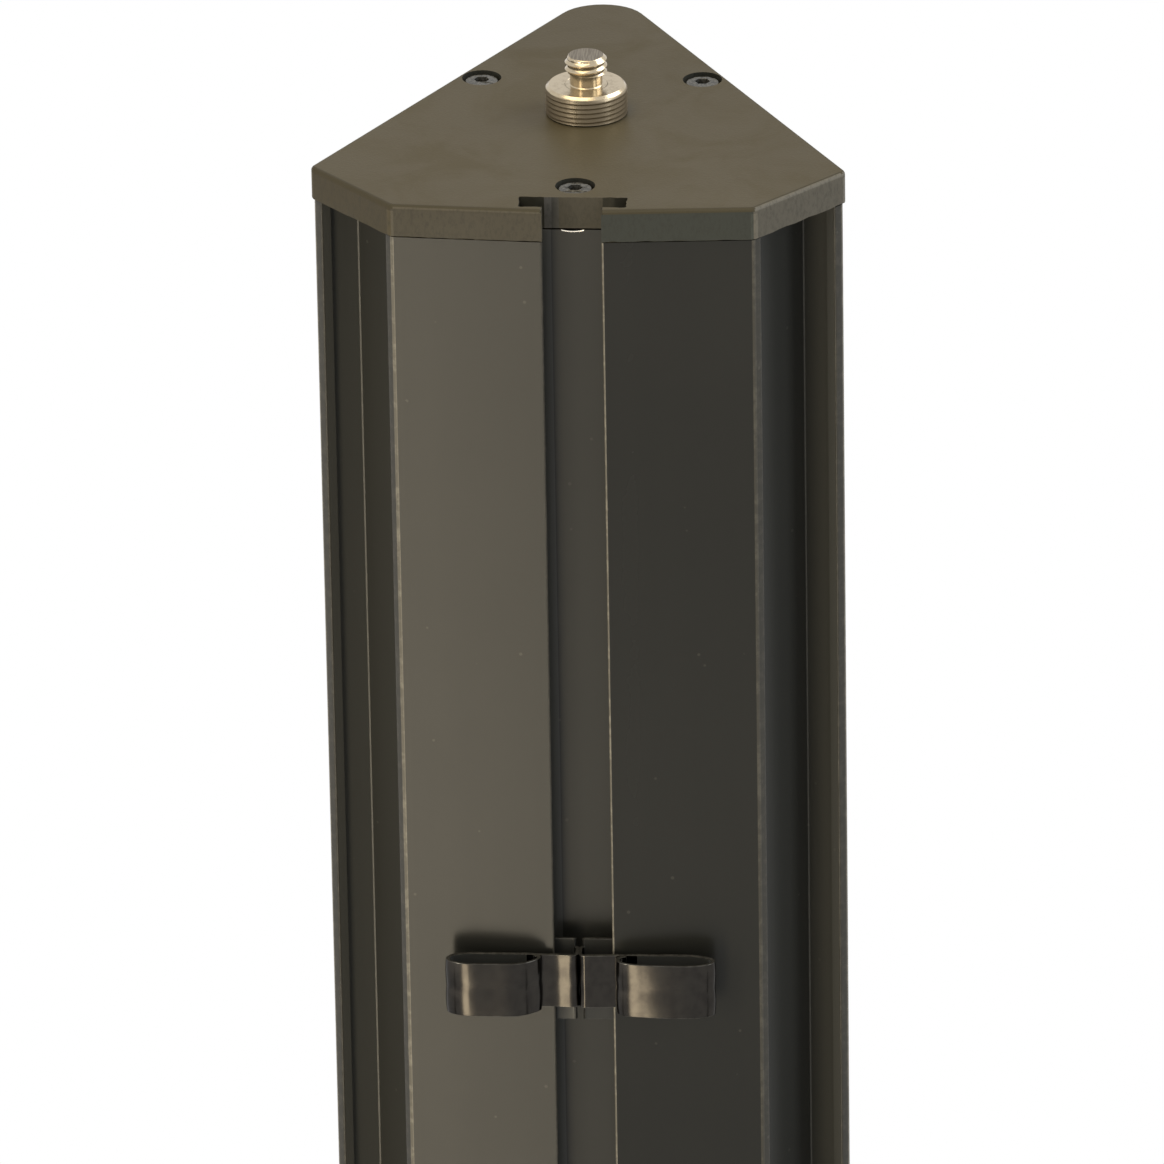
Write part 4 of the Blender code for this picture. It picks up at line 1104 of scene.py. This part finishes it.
# %% Cap
def face_outwards(work):
    """Turns the faces of a closed shell outwards: its volume has to come out above zero."""
    bmesh.ops.recalc_face_normals(work, faces=work.faces)
    if work.calc_volume(signed=True) < 0:
        bmesh.ops.reverse_faces(work, faces=work.faces)


def make_cap():
    work = copy_of("top_cap")
    square_notch_mouth(work)
    round_rim(work)
    # On the cap the bare mask is painted shade on the notch's arms.
    sawn = work.faces.layers.float.new("bare")
    cut_notch(work)
    shake_notch(work, sawn)
    shake_front(work)
    foot = sharp_edges(
        work, math.radians(60), where=lambda p: p.z < CAP_TOP - 6.1 * MM and not in_notch(p),
    )
    soften(work, foot, 0.22 * MM)
    face_outwards(work)
    rubbed = work.faces.layers.float.new("rubbed")
    side_tone = work.faces.layers.float_vector.new("side_tone")
    # Painted light and shade on the cap's sides, face by face.
    for face in work.faces:
        tone = painted_side_light_of(face, sawn)
        if tone is not None:
            face[rubbed], face[side_tone] = 1.0, tone
    return finish_piece("cap_plate", work, "top_cap")


cap = make_cap()
print("cap faces:", len(cap.data.polygons))

# %% [markdown]
# The boom mount's two threads are the brightest thing on the stand, and a printed pattern could
# not catch the light as they do. So a thread is cut for real: the outline of one tooth is spun up
# a helix, each turn welded to the last, and the rod sliced flat at both ends. The collar's fine
# thread has narrow crests and broad shallow roots, the stud's has even ones.

# %% Threads
VERT, EDGE = bmesh.types.BMVert, bmesh.types.BMEdge
# Each point of a tooth: its share of the pitch, and its share of the depth
EVEN_TOOTH = (
    (0.0, 1.0), (0.14, 1.0), (0.42, 0.12), (0.50, 0.0), (0.58, 0.12), (0.86, 1.0), (1.0, 1.0),
)
FINE_TOOTH = (
    (0.0, 1.0), (0.06, 1.0), (0.20, 0.10), (0.30, 0.0), (0.40, 0.08), (0.92, 1.0), (1.0, 1.0),
)


def thread(radius, depth, pitch, low, high, steps, start, tooth):
    """An open threaded tube on the z axis from low to high, in so many steps a turn."""
    work = bmesh.new()
    base = low - 1.5 * pitch
    corners = [
        work.verts.new((radius - sunk * depth, 0, base + share * pitch)) for share, sunk in tooth
    ]
    line = [work.edges.new(pair) for pair in zip(corners, corners[1:])]
    turns = math.ceil((high - low) / pitch) + 3
    bmesh.ops.spin(
        work, geom=corners + line, cent=(0, 0, 0), axis=(0, 0, 1), dvec=(0, 0, pitch / steps),
        angle=2 * math.pi * turns, steps=steps * turns, use_merge=False, use_normal_flip=False,
        use_duplicate=False,
    )
    bmesh.ops.remove_doubles(work, verts=work.verts, dist=0.004 * MM)
    for height, side in ((low, -1), (high, 1)):
        bmesh.ops.bisect_plane(
            work, geom=work.verts[:] + work.edges[:] + work.faces[:], dist=1e-7,
            plane_co=(0, 0, height), plane_no=(0, 0, side), clear_outer=True, clear_inner=False,
        )
    turned = Matrix.Rotation(math.radians(start), 3, "Z")
    bmesh.ops.rotate(work, verts=work.verts, cent=(0, 0, 0), matrix=turned)
    return work


def chamfer_end(work, high, tall, end_radius):
    """Turns a chamfer on the upper end of a thread."""
    for vertex in work.verts:
        down = high - vertex.co.z
        if down < tall and vertex.co.xy.length > end_radius + down:
            vertex.co.xy = vertex.co.xy.normalized() * (end_radius + down)


print("points of a tooth:", len(EVEN_TOOTH))


# %% Turned ends
def fresh(made, kind):
    """The vertices, or the edges, among what an operator made."""
    return [part for part in made["geom"] if isinstance(part, kind)]


def rim_at(work, height):
    """The open edges of a tube at a height."""
    return [
        e for e in work.edges
        if e.is_boundary and all(abs(v.co.z - height) < CUT_REACH for v in e.verts)
    ]


def carried_on(work, rim, *steps):
    """Extrudes a rim through some (radius, height) steps, and returns the last rim."""
    for radius, height in steps:
        made = bmesh.ops.extrude_edge_only(work, edges=rim)
        for vertex in fresh(made, VERT):
            vertex.co.xy = vertex.co.xy.normalized() * radius
            vertex.co.z = height
        rim = [e for e in fresh(made, EDGE) if e.is_boundary]
    return rim


def stood(work, place):
    """Closes up a turned piece, turns its faces outward and stands it in its place."""
    bmesh.ops.remove_doubles(work, verts=work.verts, dist=WELD)
    bmesh.ops.recalc_face_normals(work, faces=work.faces)
    bmesh.ops.translate(work, verts=work.verts, vec=place)
    return work


COLLAR_LOW, COLLAR_HIGH = (corner.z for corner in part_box("boom_collar"))
STUD_FOOT, STUD_TOP = (corner.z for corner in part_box("boom_stud"))
BOOM_AXIS = Vector((0, BOOM_PLACE.y, 0))
print("collar:", round((COLLAR_HIGH - COLLAR_LOW) / MM, 2), "mm tall")

# %% Boom collar
COLLAR_RADIUS, COLLAR_DEPTH, COLLAR_PITCH = 15.875 / 2 * MM, 0.085 * MM, 25.4 / 27 * MM
STUD_RADIUS, STUD_DEPTH, STUD_PITCH = 4.1 * MM, 0.5 * MM, 25.4 / 18 * MM
COLLAR_STEPS, COLLAR_START = 72, -60
BORE = STUD_RADIUS + 0.05 * MM


def painted_shade_round(turn):
    """How much painted shade the collar's side has at an angle round it: less in two painted highlight streaks,
    where the lamps' streaks fall.
    """
    rubbed = max(0.0, 1 - abs(turn + 14) / 12) + 0.8 * max(0.0, 1 - abs(turn - 41) / 14)
    return 1.0 - 0.85 * min(1.0, rubbed)


def make_collar():
    work = thread(
        COLLAR_RADIUS, COLLAR_DEPTH, COLLAR_PITCH, COLLAR_LOW, COLLAR_HIGH, COLLAR_STEPS,
        COLLAR_START, FINE_TOOTH,
    )
    chamfer_end(work, COLLAR_HIGH, 0.7 * MM, COLLAR_RADIUS - 0.65 * MM)
    rim = carried_on(
        work, rim_at(work, COLLAR_HIGH), (COLLAR_RADIUS - 0.95 * MM, COLLAR_HIGH),
        (BORE + 0.05 * MM, COLLAR_HIGH), (BORE, COLLAR_HIGH - 0.05 * MM),
    )
    foot = carried_on(work, rim_at(work, COLLAR_LOW), (BORE, COLLAR_LOW))
    bmesh.ops.bridge_loops(work, edges=rim + foot)
    # Painted shade round the collar's side, with two painted highlight streaks.
    painted_shade = wear_and_painted_light_layer(work)
    for face in work.faces:
        middle = face.calc_center_median()
        if middle.xy.length > COLLAR_RADIUS - 0.4 * MM and middle.z < COLLAR_HIGH - 0.5 * MM:
            face[painted_shade] = painted_shade_round(math.degrees(math.atan2(middle.x, -middle.y)))
    return finish_piece("boom_collar_thread", stood(work, BOOM_AXIS), "boom_collar", even=False)


collar = make_collar()
print("collar faces:", len(collar.data.polygons))

# %% Boom stud
NECK_TALL, NECK_RADIUS = 2.6 * MM, 3.15 * MM
STUD_STEPS, STUD_START = 64, 20


def make_stud():
    low = COLLAR_HIGH + NECK_TALL
    work = thread(
        STUD_RADIUS, STUD_DEPTH, STUD_PITCH, low, STUD_TOP, STUD_STEPS, STUD_START, EVEN_TOOTH,
    )
    chamfer_end(work, STUD_TOP, 0.9 * MM, STUD_RADIUS - 0.75 * MM)
    end = carried_on(work, rim_at(work, STUD_TOP), (2.6 * MM, STUD_TOP), (0.3 * MM, STUD_TOP))
    bmesh.ops.contextual_create(work, geom=end)
    foot = carried_on(
        work, rim_at(work, low), (NECK_RADIUS, low - 0.15 * MM),
        (NECK_RADIUS, COLLAR_HIGH + 0.5 * MM), (NECK_RADIUS, COLLAR_HIGH + 0.2 * MM),
        (NECK_RADIUS + 0.15 * MM, COLLAR_HIGH + 0.03 * MM), (STUD_RADIUS, COLLAR_HIGH),
        (STUD_RADIUS, STUD_FOOT + 0.6 * MM), (STUD_RADIUS - 0.6 * MM, STUD_FOOT),
    )
    bmesh.ops.contextual_create(work, geom=foot)
    sawn = work.faces.layers.float.new("bare")
    for face in work.faces:
        if all(v.co.z > STUD_TOP - CUT_REACH for v in face.verts):
            face[sawn] = 1.0
    return finish_piece("boom_stud_thread", stood(work, BOOM_AXIS), "boom_stud", even=False)


stud = make_stud()
print("stud faces:", len(stud.data.polygons))

# %% [markdown]
# The cable clip is one strip of spring steel, folded twice. Each half starts as a tab behind the
# slot's lip, turns forward out of the neck, runs along the face and curls into a long flat loop.
# A sheet pushed up from the strip's plan, one row at a time, gives this shape. Each row can be
# moved in or out, which makes the two rolled bands and the crease between them. Solidify then
# gives the steel its thickness.

# %% Clip: its sizes
CLIP_STEEL = 0.7 * MM
LOOP_HALF_TALL = 5.65 * MM
TAB_UP, TAB_DOWN, TAB_END = 7.35 * MM, 10.05 * MM, 8.6 * MM
TAB_Y, TAB_FOLD = 0.9 * MM, 0.9 * MM
TAB_SHAKE = 0.06 * MM
BACK_STRAND_Y, FRONT_STRAND_Y = -2.55 * MM, -7.7 * MM
CREASE_DEPTH, RIM_BAND = 0.16 * MM, 0.12 * MM
CLIP_ROWS = 16
INNER_HALF = LOOP_HALF_TALL - RIM_BAND


def in_mm(*points):
    return [Vector(point) * MM for point in points]


RIGHT_HALF = {
    "leg_x": -0.5 * MM, "loop_centre": 19.8 * MM, "outer": 25.65 * MM,
    "back_line": in_mm((0.35, -3.15), (6.0, -2.75), (10.5, -2.55)),
    "front_strand": in_mm(
        (19.0, -7.70), (17.0, -7.69), (14.5, -7.60), (12.0, -7.41), (9.6, -7.13),
        (7.9, -6.60), (6.9, -5.60), (6.75, -4.50), (7.40, -3.60), (8.40, -3.25),
    ),
}
LEFT_HALF = {
    "leg_x": 1.4 * MM, "loop_centre": 21.4 * MM, "outer": 26.45 * MM,
    "back_line": in_mm((2.2, -3.0), (5.0, -2.68), (8.8, -2.78), (11.0, -2.55)),
    "front_strand": in_mm(
        (20.5, -7.70), (17.5, -7.70), (14.2, -7.70), (12.6, -7.51), (11.2, -6.95),
        (9.9, -6.05), (8.8, -5.10), (8.35, -4.20), (8.70, -3.50), (9.50, -3.20),
    ),
}
print("clip steel:", CLIP_STEEL / MM, "mm")


# %% Clip: its plan
def bend(centre, half_x, half_y, start, end, steps):
    """Points round part of an ellipse, for a fold or a curl in the strip."""
    angles = [math.radians(start + (end - start) * n / steps) for n in range(steps + 1)]
    return [
        Vector((centre[0] + half_x * math.cos(a), centre[1] + half_y * math.sin(a)))
        for a in angles
    ]


def smooth_line(points, steps=5):
    """A line through all the points, rounded between them as spring steel lies."""
    ends = [2 * points[0] - points[1]] + points + [2 * points[-1] - points[-2]]
    line = []
    for before, start, end, after in zip(ends, ends[1:], ends[2:], ends[3:]):
        pull_start, pull_end = (end - before) / 2, (after - start) / 2
        for t in (n / steps for n in range(steps)):
            line.append(
                start * (2 * t ** 3 - 3 * t ** 2 + 1) + pull_start * (t ** 3 - 2 * t ** 2 + t)
                + end * (3 * t ** 2 - 2 * t ** 3) + pull_end * (t ** 3 - t ** 2)
            )
    return line + [points[-1]]


def strip_plan(leg_x, loop_centre, outer, back_line, front_strand):
    """The strip's plan on the right side, and how many of its points belong to the tab."""
    fold = (leg_x + TAB_FOLD, TAB_Y - TAB_FOLD)
    tab = [Vector((TAB_END, TAB_Y)), Vector(((TAB_END + leg_x) / 2, TAB_Y))]
    tab += bend(fold, TAB_FOLD, TAB_FOLD, 90, 135, 3)
    leg = bend(fold, TAB_FOLD, TAB_FOLD, 150, 180, 2)
    knees = back_line + [Vector((loop_centre, BACK_STRAND_Y))]
    turn = knees[0].x - leg_x
    leg += bend((leg_x + turn, knees[0].y + turn), turn, turn, 180, 262, 5)
    for start, end in zip(knees, knees[1:]):
        leg += [start.lerp(end, n / 4) for n in range(4)]
    middle_y = (BACK_STRAND_Y + FRONT_STRAND_Y) / 2
    half_deep = (BACK_STRAND_Y - FRONT_STRAND_Y) / 2
    loop = bend((loop_centre, middle_y), outer - loop_centre, half_deep, 90, -84, 24)
    return tab + leg + loop + smooth_line(front_strand), len(tab)


def nearest_in(plan, spot):
    return min(range(len(plan)), key=lambda n: (plan[n] - spot).length_squared)


def side_directions(plan):
    """For each point of the plan, the way out of the strip's inner side."""
    last = len(plan) - 1
    alongs = [(plan[min(n + 1, last)] - plan[max(n - 1, 0)]).normalized() for n in range(last + 1)]
    return [Vector((along.y, -along.x)) for along in alongs]


print("points in the right half's plan:", len(strip_plan(**RIGHT_HALF)[0]))


# %% Clip: its sheet
def pushed_up(work, plan):
    """Pushes the plan up row by row, and returns the sheet's lowest and highest edges."""
    row = [work.verts.new((p.x, p.y, -LOOP_HALF_TALL)) for p in plan]
    lowest = edges = [work.edges.new(pair) for pair in zip(row, row[1:])]
    heights = [-INNER_HALF + 2 * INNER_HALF * n / CLIP_ROWS for n in range(CLIP_ROWS + 1)]
    for height in heights + [LOOP_HALF_TALL]:
        made = bmesh.ops.extrude_edge_only(work, edges=edges)
        for vertex in fresh(made, VERT):
            vertex.co.z = height
        edges = [e for e in fresh(made, EDGE) if all(abs(v.co.z - height) < 1e-6 for v in e.verts)]
    return lowest, edges


def lengthen_tab(work, edges, grown, of_tab, bare):
    """Extends the tab past the loops' edge. Its last narrow band is bare and a little uneven."""
    side = math.copysign(1, grown)
    for height, mark in ((grown - side * RIM_BAND, 0.0), (side * RIM_BAND, 1.0)):
        chosen = [e for e in edges if all(of_tab(v) for v in e.verts)]
        made = bmesh.ops.extrude_edge_only(work, edges=chosen)
        new = fresh(made, VERT)
        bmesh.ops.translate(work, verts=new, vec=(0, 0, height))
        for vertex in new:
            vertex[bare] = mark
            vertex.co.z += random.uniform(-1, 1) * TAB_SHAKE * mark
        edges = [e for e in fresh(made, EDGE) if e.verts[0] in new and e.verts[1] in new]


def roll_bands(work, plan, sides, in_tab):
    """Moves the rows in or out, so that two rolled bands run along the strip with a crease."""
    for vertex in work.verts:
        share = min(1.0, abs(vertex.co.z) / LOOP_HALF_TALL)
        nearest = nearest_in(plan, vertex.co.xy)
        inward = CREASE_DEPTH * (2 * share - 1) ** 2 if nearest >= in_tab else 0.0
        vertex.co.xy = vertex.co.xy + sides[nearest] * (inward - CLIP_STEEL / 2)


def thicken(work):
    """Turns the sheet's faces one way, the front one to the front, and gives it thickness."""
    bmesh.ops.remove_doubles(work, verts=work.verts, dist=WELD)
    bmesh.ops.recalc_face_normals(work, faces=work.faces)
    front = min(work.faces, key=lambda f: f.calc_center_median().y)
    if front.normal.y > 0:
        bmesh.ops.reverse_faces(work, faces=work.faces)
    bmesh.ops.solidify(work, geom=work.faces[:], thickness=CLIP_STEEL)


print("rows:", CLIP_ROWS)

# %% Clip: its halves
# How much painted fill greys each shaded part of the clip: loop insides, top and bottom edges, tabs.
INSIDE_PAINTED_FILL, EDGE_PAINTED_FILL, TAB_PAINTED_FILL = 1.0, 0.4, 0.8


def strip_half(values, mirror):
    """One half of the clip. Its edges, where the plate was cut, are marked bare."""
    plan, in_tab = strip_plan(**values)
    sides = side_directions(plan)
    tab_points = {(round(p.x, 6), round(p.y, 6)) for p in plan[:in_tab]}

    def of_tab(vertex):
        return (round(vertex.co.x, 6), round(vertex.co.y, 6)) in tab_points

    work = bmesh.new()
    bare = work.verts.layers.float.new("bare")
    lowest, highest = pushed_up(work, plan)
    for vertex in work.verts:
        if abs(vertex.co.z) > INNER_HALF + 0.5 * RIM_BAND and not of_tab(vertex):
            vertex[bare] = 1.0
    lengthen_tab(work, highest, TAB_UP - LOOP_HALF_TALL, of_tab, bare)
    lengthen_tab(work, lowest, LOOP_HALF_TALL - TAB_DOWN, of_tab, bare)
    roll_bands(work, plan, sides, in_tab)
    flip = -1 if mirror else 1
    bmesh.ops.scale(work, verts=work.verts, vec=(flip, 1, 1))
    thicken(work)
    # Painted fill on the loops' insides, the strip's edges and the tabs, which lie in shade.
    matt_and_painted_fill = work.faces.layers.float.new("recess")
    for face in work.faces:
        middle = face.calc_center_median()
        spot = Vector((middle.x * flip, middle.y))
        nearest = nearest_in(plan, spot)
        faced = Vector((face.normal.x * flip, face.normal.y)).dot(sides[nearest])
        if faced > 0.4 and nearest >= in_tab and spot.x > 11 * MM:
            face[matt_and_painted_fill] = INSIDE_PAINTED_FILL
        elif abs(face.normal.z) > 0.7:
            face[matt_and_painted_fill] = EDGE_PAINTED_FILL
        elif nearest < in_tab:
            face[matt_and_painted_fill] = TAB_PAINTED_FILL
    soften(work, sharp_edges(work, SQUARE), 0.11 * MM)
    return work


def joined_meshes(works):
    """Several meshes in one."""
    whole = bmesh.new()
    for work in works:
        mesh = bpy.data.meshes.new("part_of_piece")
        work.to_mesh(mesh)
        work.free()
        whole.from_mesh(mesh)
        bpy.data.meshes.remove(mesh)
    return whole


def make_clip(node):
    work = joined_meshes([strip_half(RIGHT_HALF, False), strip_half(LEFT_HALF, True)])
    middle_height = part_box(node)[1].z - TAB_UP
    bmesh.ops.translate(work, verts=work.verts, vec=(0, SECTION_Y, middle_height))
    front = min(v.co.y for v in work.verts) - SECTION_Y
    open_edges = sum(e.is_boundary for e in work.edges)
    print("clip front:", round(front / MM, 2), "mm from the column's, open edges:", open_edges)
    return finish_piece(node + "_strip", work, node, even=False)


for node in ("cable_clip_upper", "cable_clip_lower"):
    clip = make_clip(node)
    print(clip.name, "faces:", len(clip.data.polygons))

# %% [markdown]
# The rest are castings, mouldings, tubes and fixings whose CAD shape is right. Each gets edges of
# the size that its making leaves: broad on castings and rubber, fine on sawn tube and on steel.

# %% Castings, tubes, mouldings and fixings
# Each kind's width of edge in millimetres, and the flats across it
EDGES = {
    "base_casting": (1.2, 3), "arm_bracket": (0.6, 3), "leg_knuckle": (0.8, 3),
    "leg_foot": (0.5, 2), "leg_tube": (0.25, 2), "arm_tube": (0.5, 3), "arm_pad": (0.4, 2),
    "arm_end_cap": (0.6, 2), "clamp_knob": (1.2, 3), "channel_nut": (0.3, 2),
    "leg_pivot_pin": (0.25, 2), "arm_pivot_pin": (0.25, 2), "cap_screw": (0.2, 2),
    "base_screw": (0.2, 2), "boom_washer": (0.15, 2), "boom_nut": (0.25, 2),
}


def dish(work, along, wide, deep):
    """Sinks the middle of the biggest flat end that faces along a direction."""
    ends = [f for f in work.faces if f.normal.dot(along) > 0.99]
    if ends:
        biggest = max(ends, key=lambda f: f.calc_area())
        bmesh.ops.inset_region(
            work, faces=[biggest], thickness=wide, depth=-deep, use_even_offset=True,
            use_boundary=True,
        )


print("kinds:", len(EDGES))

# %% [markdown]
# A clamp knob's end is moulded with a sunk face and a round boss in its middle. A second inset of
# the lobed face would cross itself, so the boss is a short cone of even width, set into the face.
# A pivot pin's ends are dished a little, as a punch leaves them.

# %% Knobs and pins
KNOB_RIM, KNOB_SUNK = 2.6 * MM, 1.4 * MM
BOSS_RADIUS, BOSS_TALL, BOSS_BELOW = 6.5 * MM, 2 * MM, 1.3 * MM
PIN_RIM, PIN_SUNK = 1.1 * MM, 0.3 * MM


def mould_knob(work, node):
    place = frame_of(node).translation
    outward = frame_of(node).to_3x3().col[0]
    if outward.xy.dot(place.xy) < 0:
        outward = -outward
    dish(work, outward, KNOB_RIM, KNOB_SUNK)
    knob_end = max(v.co.dot(outward) for v in work.verts)
    middle = place + outward * (knob_end - BOSS_BELOW - place.dot(outward))
    bmesh.ops.create_cone(
        work, cap_ends=True, segments=48, radius1=BOSS_RADIUS, radius2=BOSS_RADIUS,
        depth=BOSS_TALL, matrix=frame_along(middle, outward) @ Matrix.Rotation(math.pi / 2, 4, "Y"),
    )


def punch_pin(work, node):
    if node.startswith("arm"):
        sideways = frame_of(node).to_3x3().col[1]
    else:
        joint = joints["leg_fold_" + node.removeprefix("leg_pivot_pin_")]
        sideways = Vector(joint["axis"]).normalized()
    for along in (sideways, -sideways):
        dish(work, along, PIN_RIM, PIN_SUNK)


print("boss:", BOSS_RADIUS / MM, "mm in radius")

# %% [markdown]
# The photograph's cap screws sit near the surface, with slightly domed heads, so the heads are
# raised in the mesh. Feet are grooved all round and arm pads across their top: each groove is
# three cuts across the piece, and the middle one is then sunk.

# %% Screw heads and grooves
HEAD_TALL, HEAD_RADIUS = 0.6 * MM, 3.5 * MM
# How far a head is raised in its middle and how much less at its rim, in millimetres
HEAD_RAISED, HEAD_DOME = 1.5, 0.5
HEAD_BARE, HEAD_DULL = 1.0, 0.93


def raise_head(work, node):
    top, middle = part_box(node)[1].z, middle_of(node).xy
    for vertex in work.verts:
        if vertex.co.z > top - HEAD_TALL:
            share = (vertex.co.xy - middle).length / HEAD_RADIUS
            vertex.co.z += (HEAD_RAISED - HEAD_DOME * share ** 2) * MM
    bare, recess = [work.faces.layers.float.new(name) for name in ("bare", "recess")]
    for face in work.faces:
        face[bare], face[recess] = HEAD_BARE, HEAD_DULL


def groove(work, node, count, pitch, half_wide, deep, only_on_top):
    """Cuts V grooves across a rubber piece, from its outer end inwards."""
    own = frame_of(node)
    to_own = own.inverted()
    spots = [to_own @ v.co for v in work.verts]
    end = max(p.x for p in spots)
    spans = [(max(p[k] for p in spots), min(p[k] for p in spots)) for k in (1, 2)]
    centre = [(most + least) / 2 for most, least in spans]
    half = [(most - least) / 2 for most, least in spans]
    for at in (end - (n + 0.8) * pitch for n in range(count)):
        for along in (at - half_wide, at, at + half_wide):
            bmesh.ops.bisect_plane(
                work, geom=work.verts[:] + work.edges[:] + work.faces[:], dist=1e-6,
                plane_co=own @ Vector((along, 0, 0)), plane_no=own.to_3x3().col[0],
            )
        for vertex in work.verts:
            p = to_own @ vertex.co
            if abs(p.x - at) > CUT_REACH:
                continue
            out = [(p[k + 1] - centre[k]) / half[k] for k in (0, 1)]
            if only_on_top and out[1] > 0.8:
                p.z -= deep
            elif not only_on_top and max(abs(o) for o in out) > 0.93:
                p.y, p.z = (
                    centre[k] + (p[k + 1] - centre[k]) * (1 - deep / half[k]) for k in (0, 1)
                )
            vertex.co = own @ p


print("heads raised by", HEAD_RAISED, "mm")

# %% The rest of the pieces
MOULDED_TONE = (0.030, 0.028, 0.0235)
SLIVER = 0.003 * MM


def tone_moulding(work):
    """Gives the other black plastic pieces a darker tone than the cap's sawn plate."""
    moulded = work.faces.layers.float.new("rubbed")
    tone = work.faces.layers.float_vector.new("side_tone")
    for face in work.faces:
        face[moulded], face[tone] = 1.0, MOULDED_TONE


def make_softened(node):
    width, flats = next(value for kind, value in EDGES.items() if node.startswith(kind))
    work = copy_of(node)
    if node.startswith("clamp_knob"):
        mould_knob(work, node)
    if node.startswith(("leg_pivot_pin", "arm_pivot_pin")):
        punch_pin(work, node)
    soften(work, sharp_edges(work, math.radians(50)), width * MM, flats)
    if node.startswith("clamp_knob"):
        bmesh.ops.dissolve_degenerate(work, dist=SLIVER, edges=work.edges)
    if node.startswith("cap_screw"):
        raise_head(work, node)
    if node.startswith("leg_foot"):
        groove(work, node, 4, 7 * MM, 0.9 * MM, 0.8 * MM, only_on_top=False)
    if node.startswith("arm_pad"):
        groove(work, node, 14, 12 * MM, 0.8 * MM, 0.5 * MM, only_on_top=True)
    if slot_of[node] == "black_plastic":
        tone_moulding(work)
    return finish_piece(node + "_finished", work, node)


for node in sorted(nodes):
    if any(node.startswith(kind) for kind in EDGES):
        make_softened(node)
print("pieces:", len(pieces))
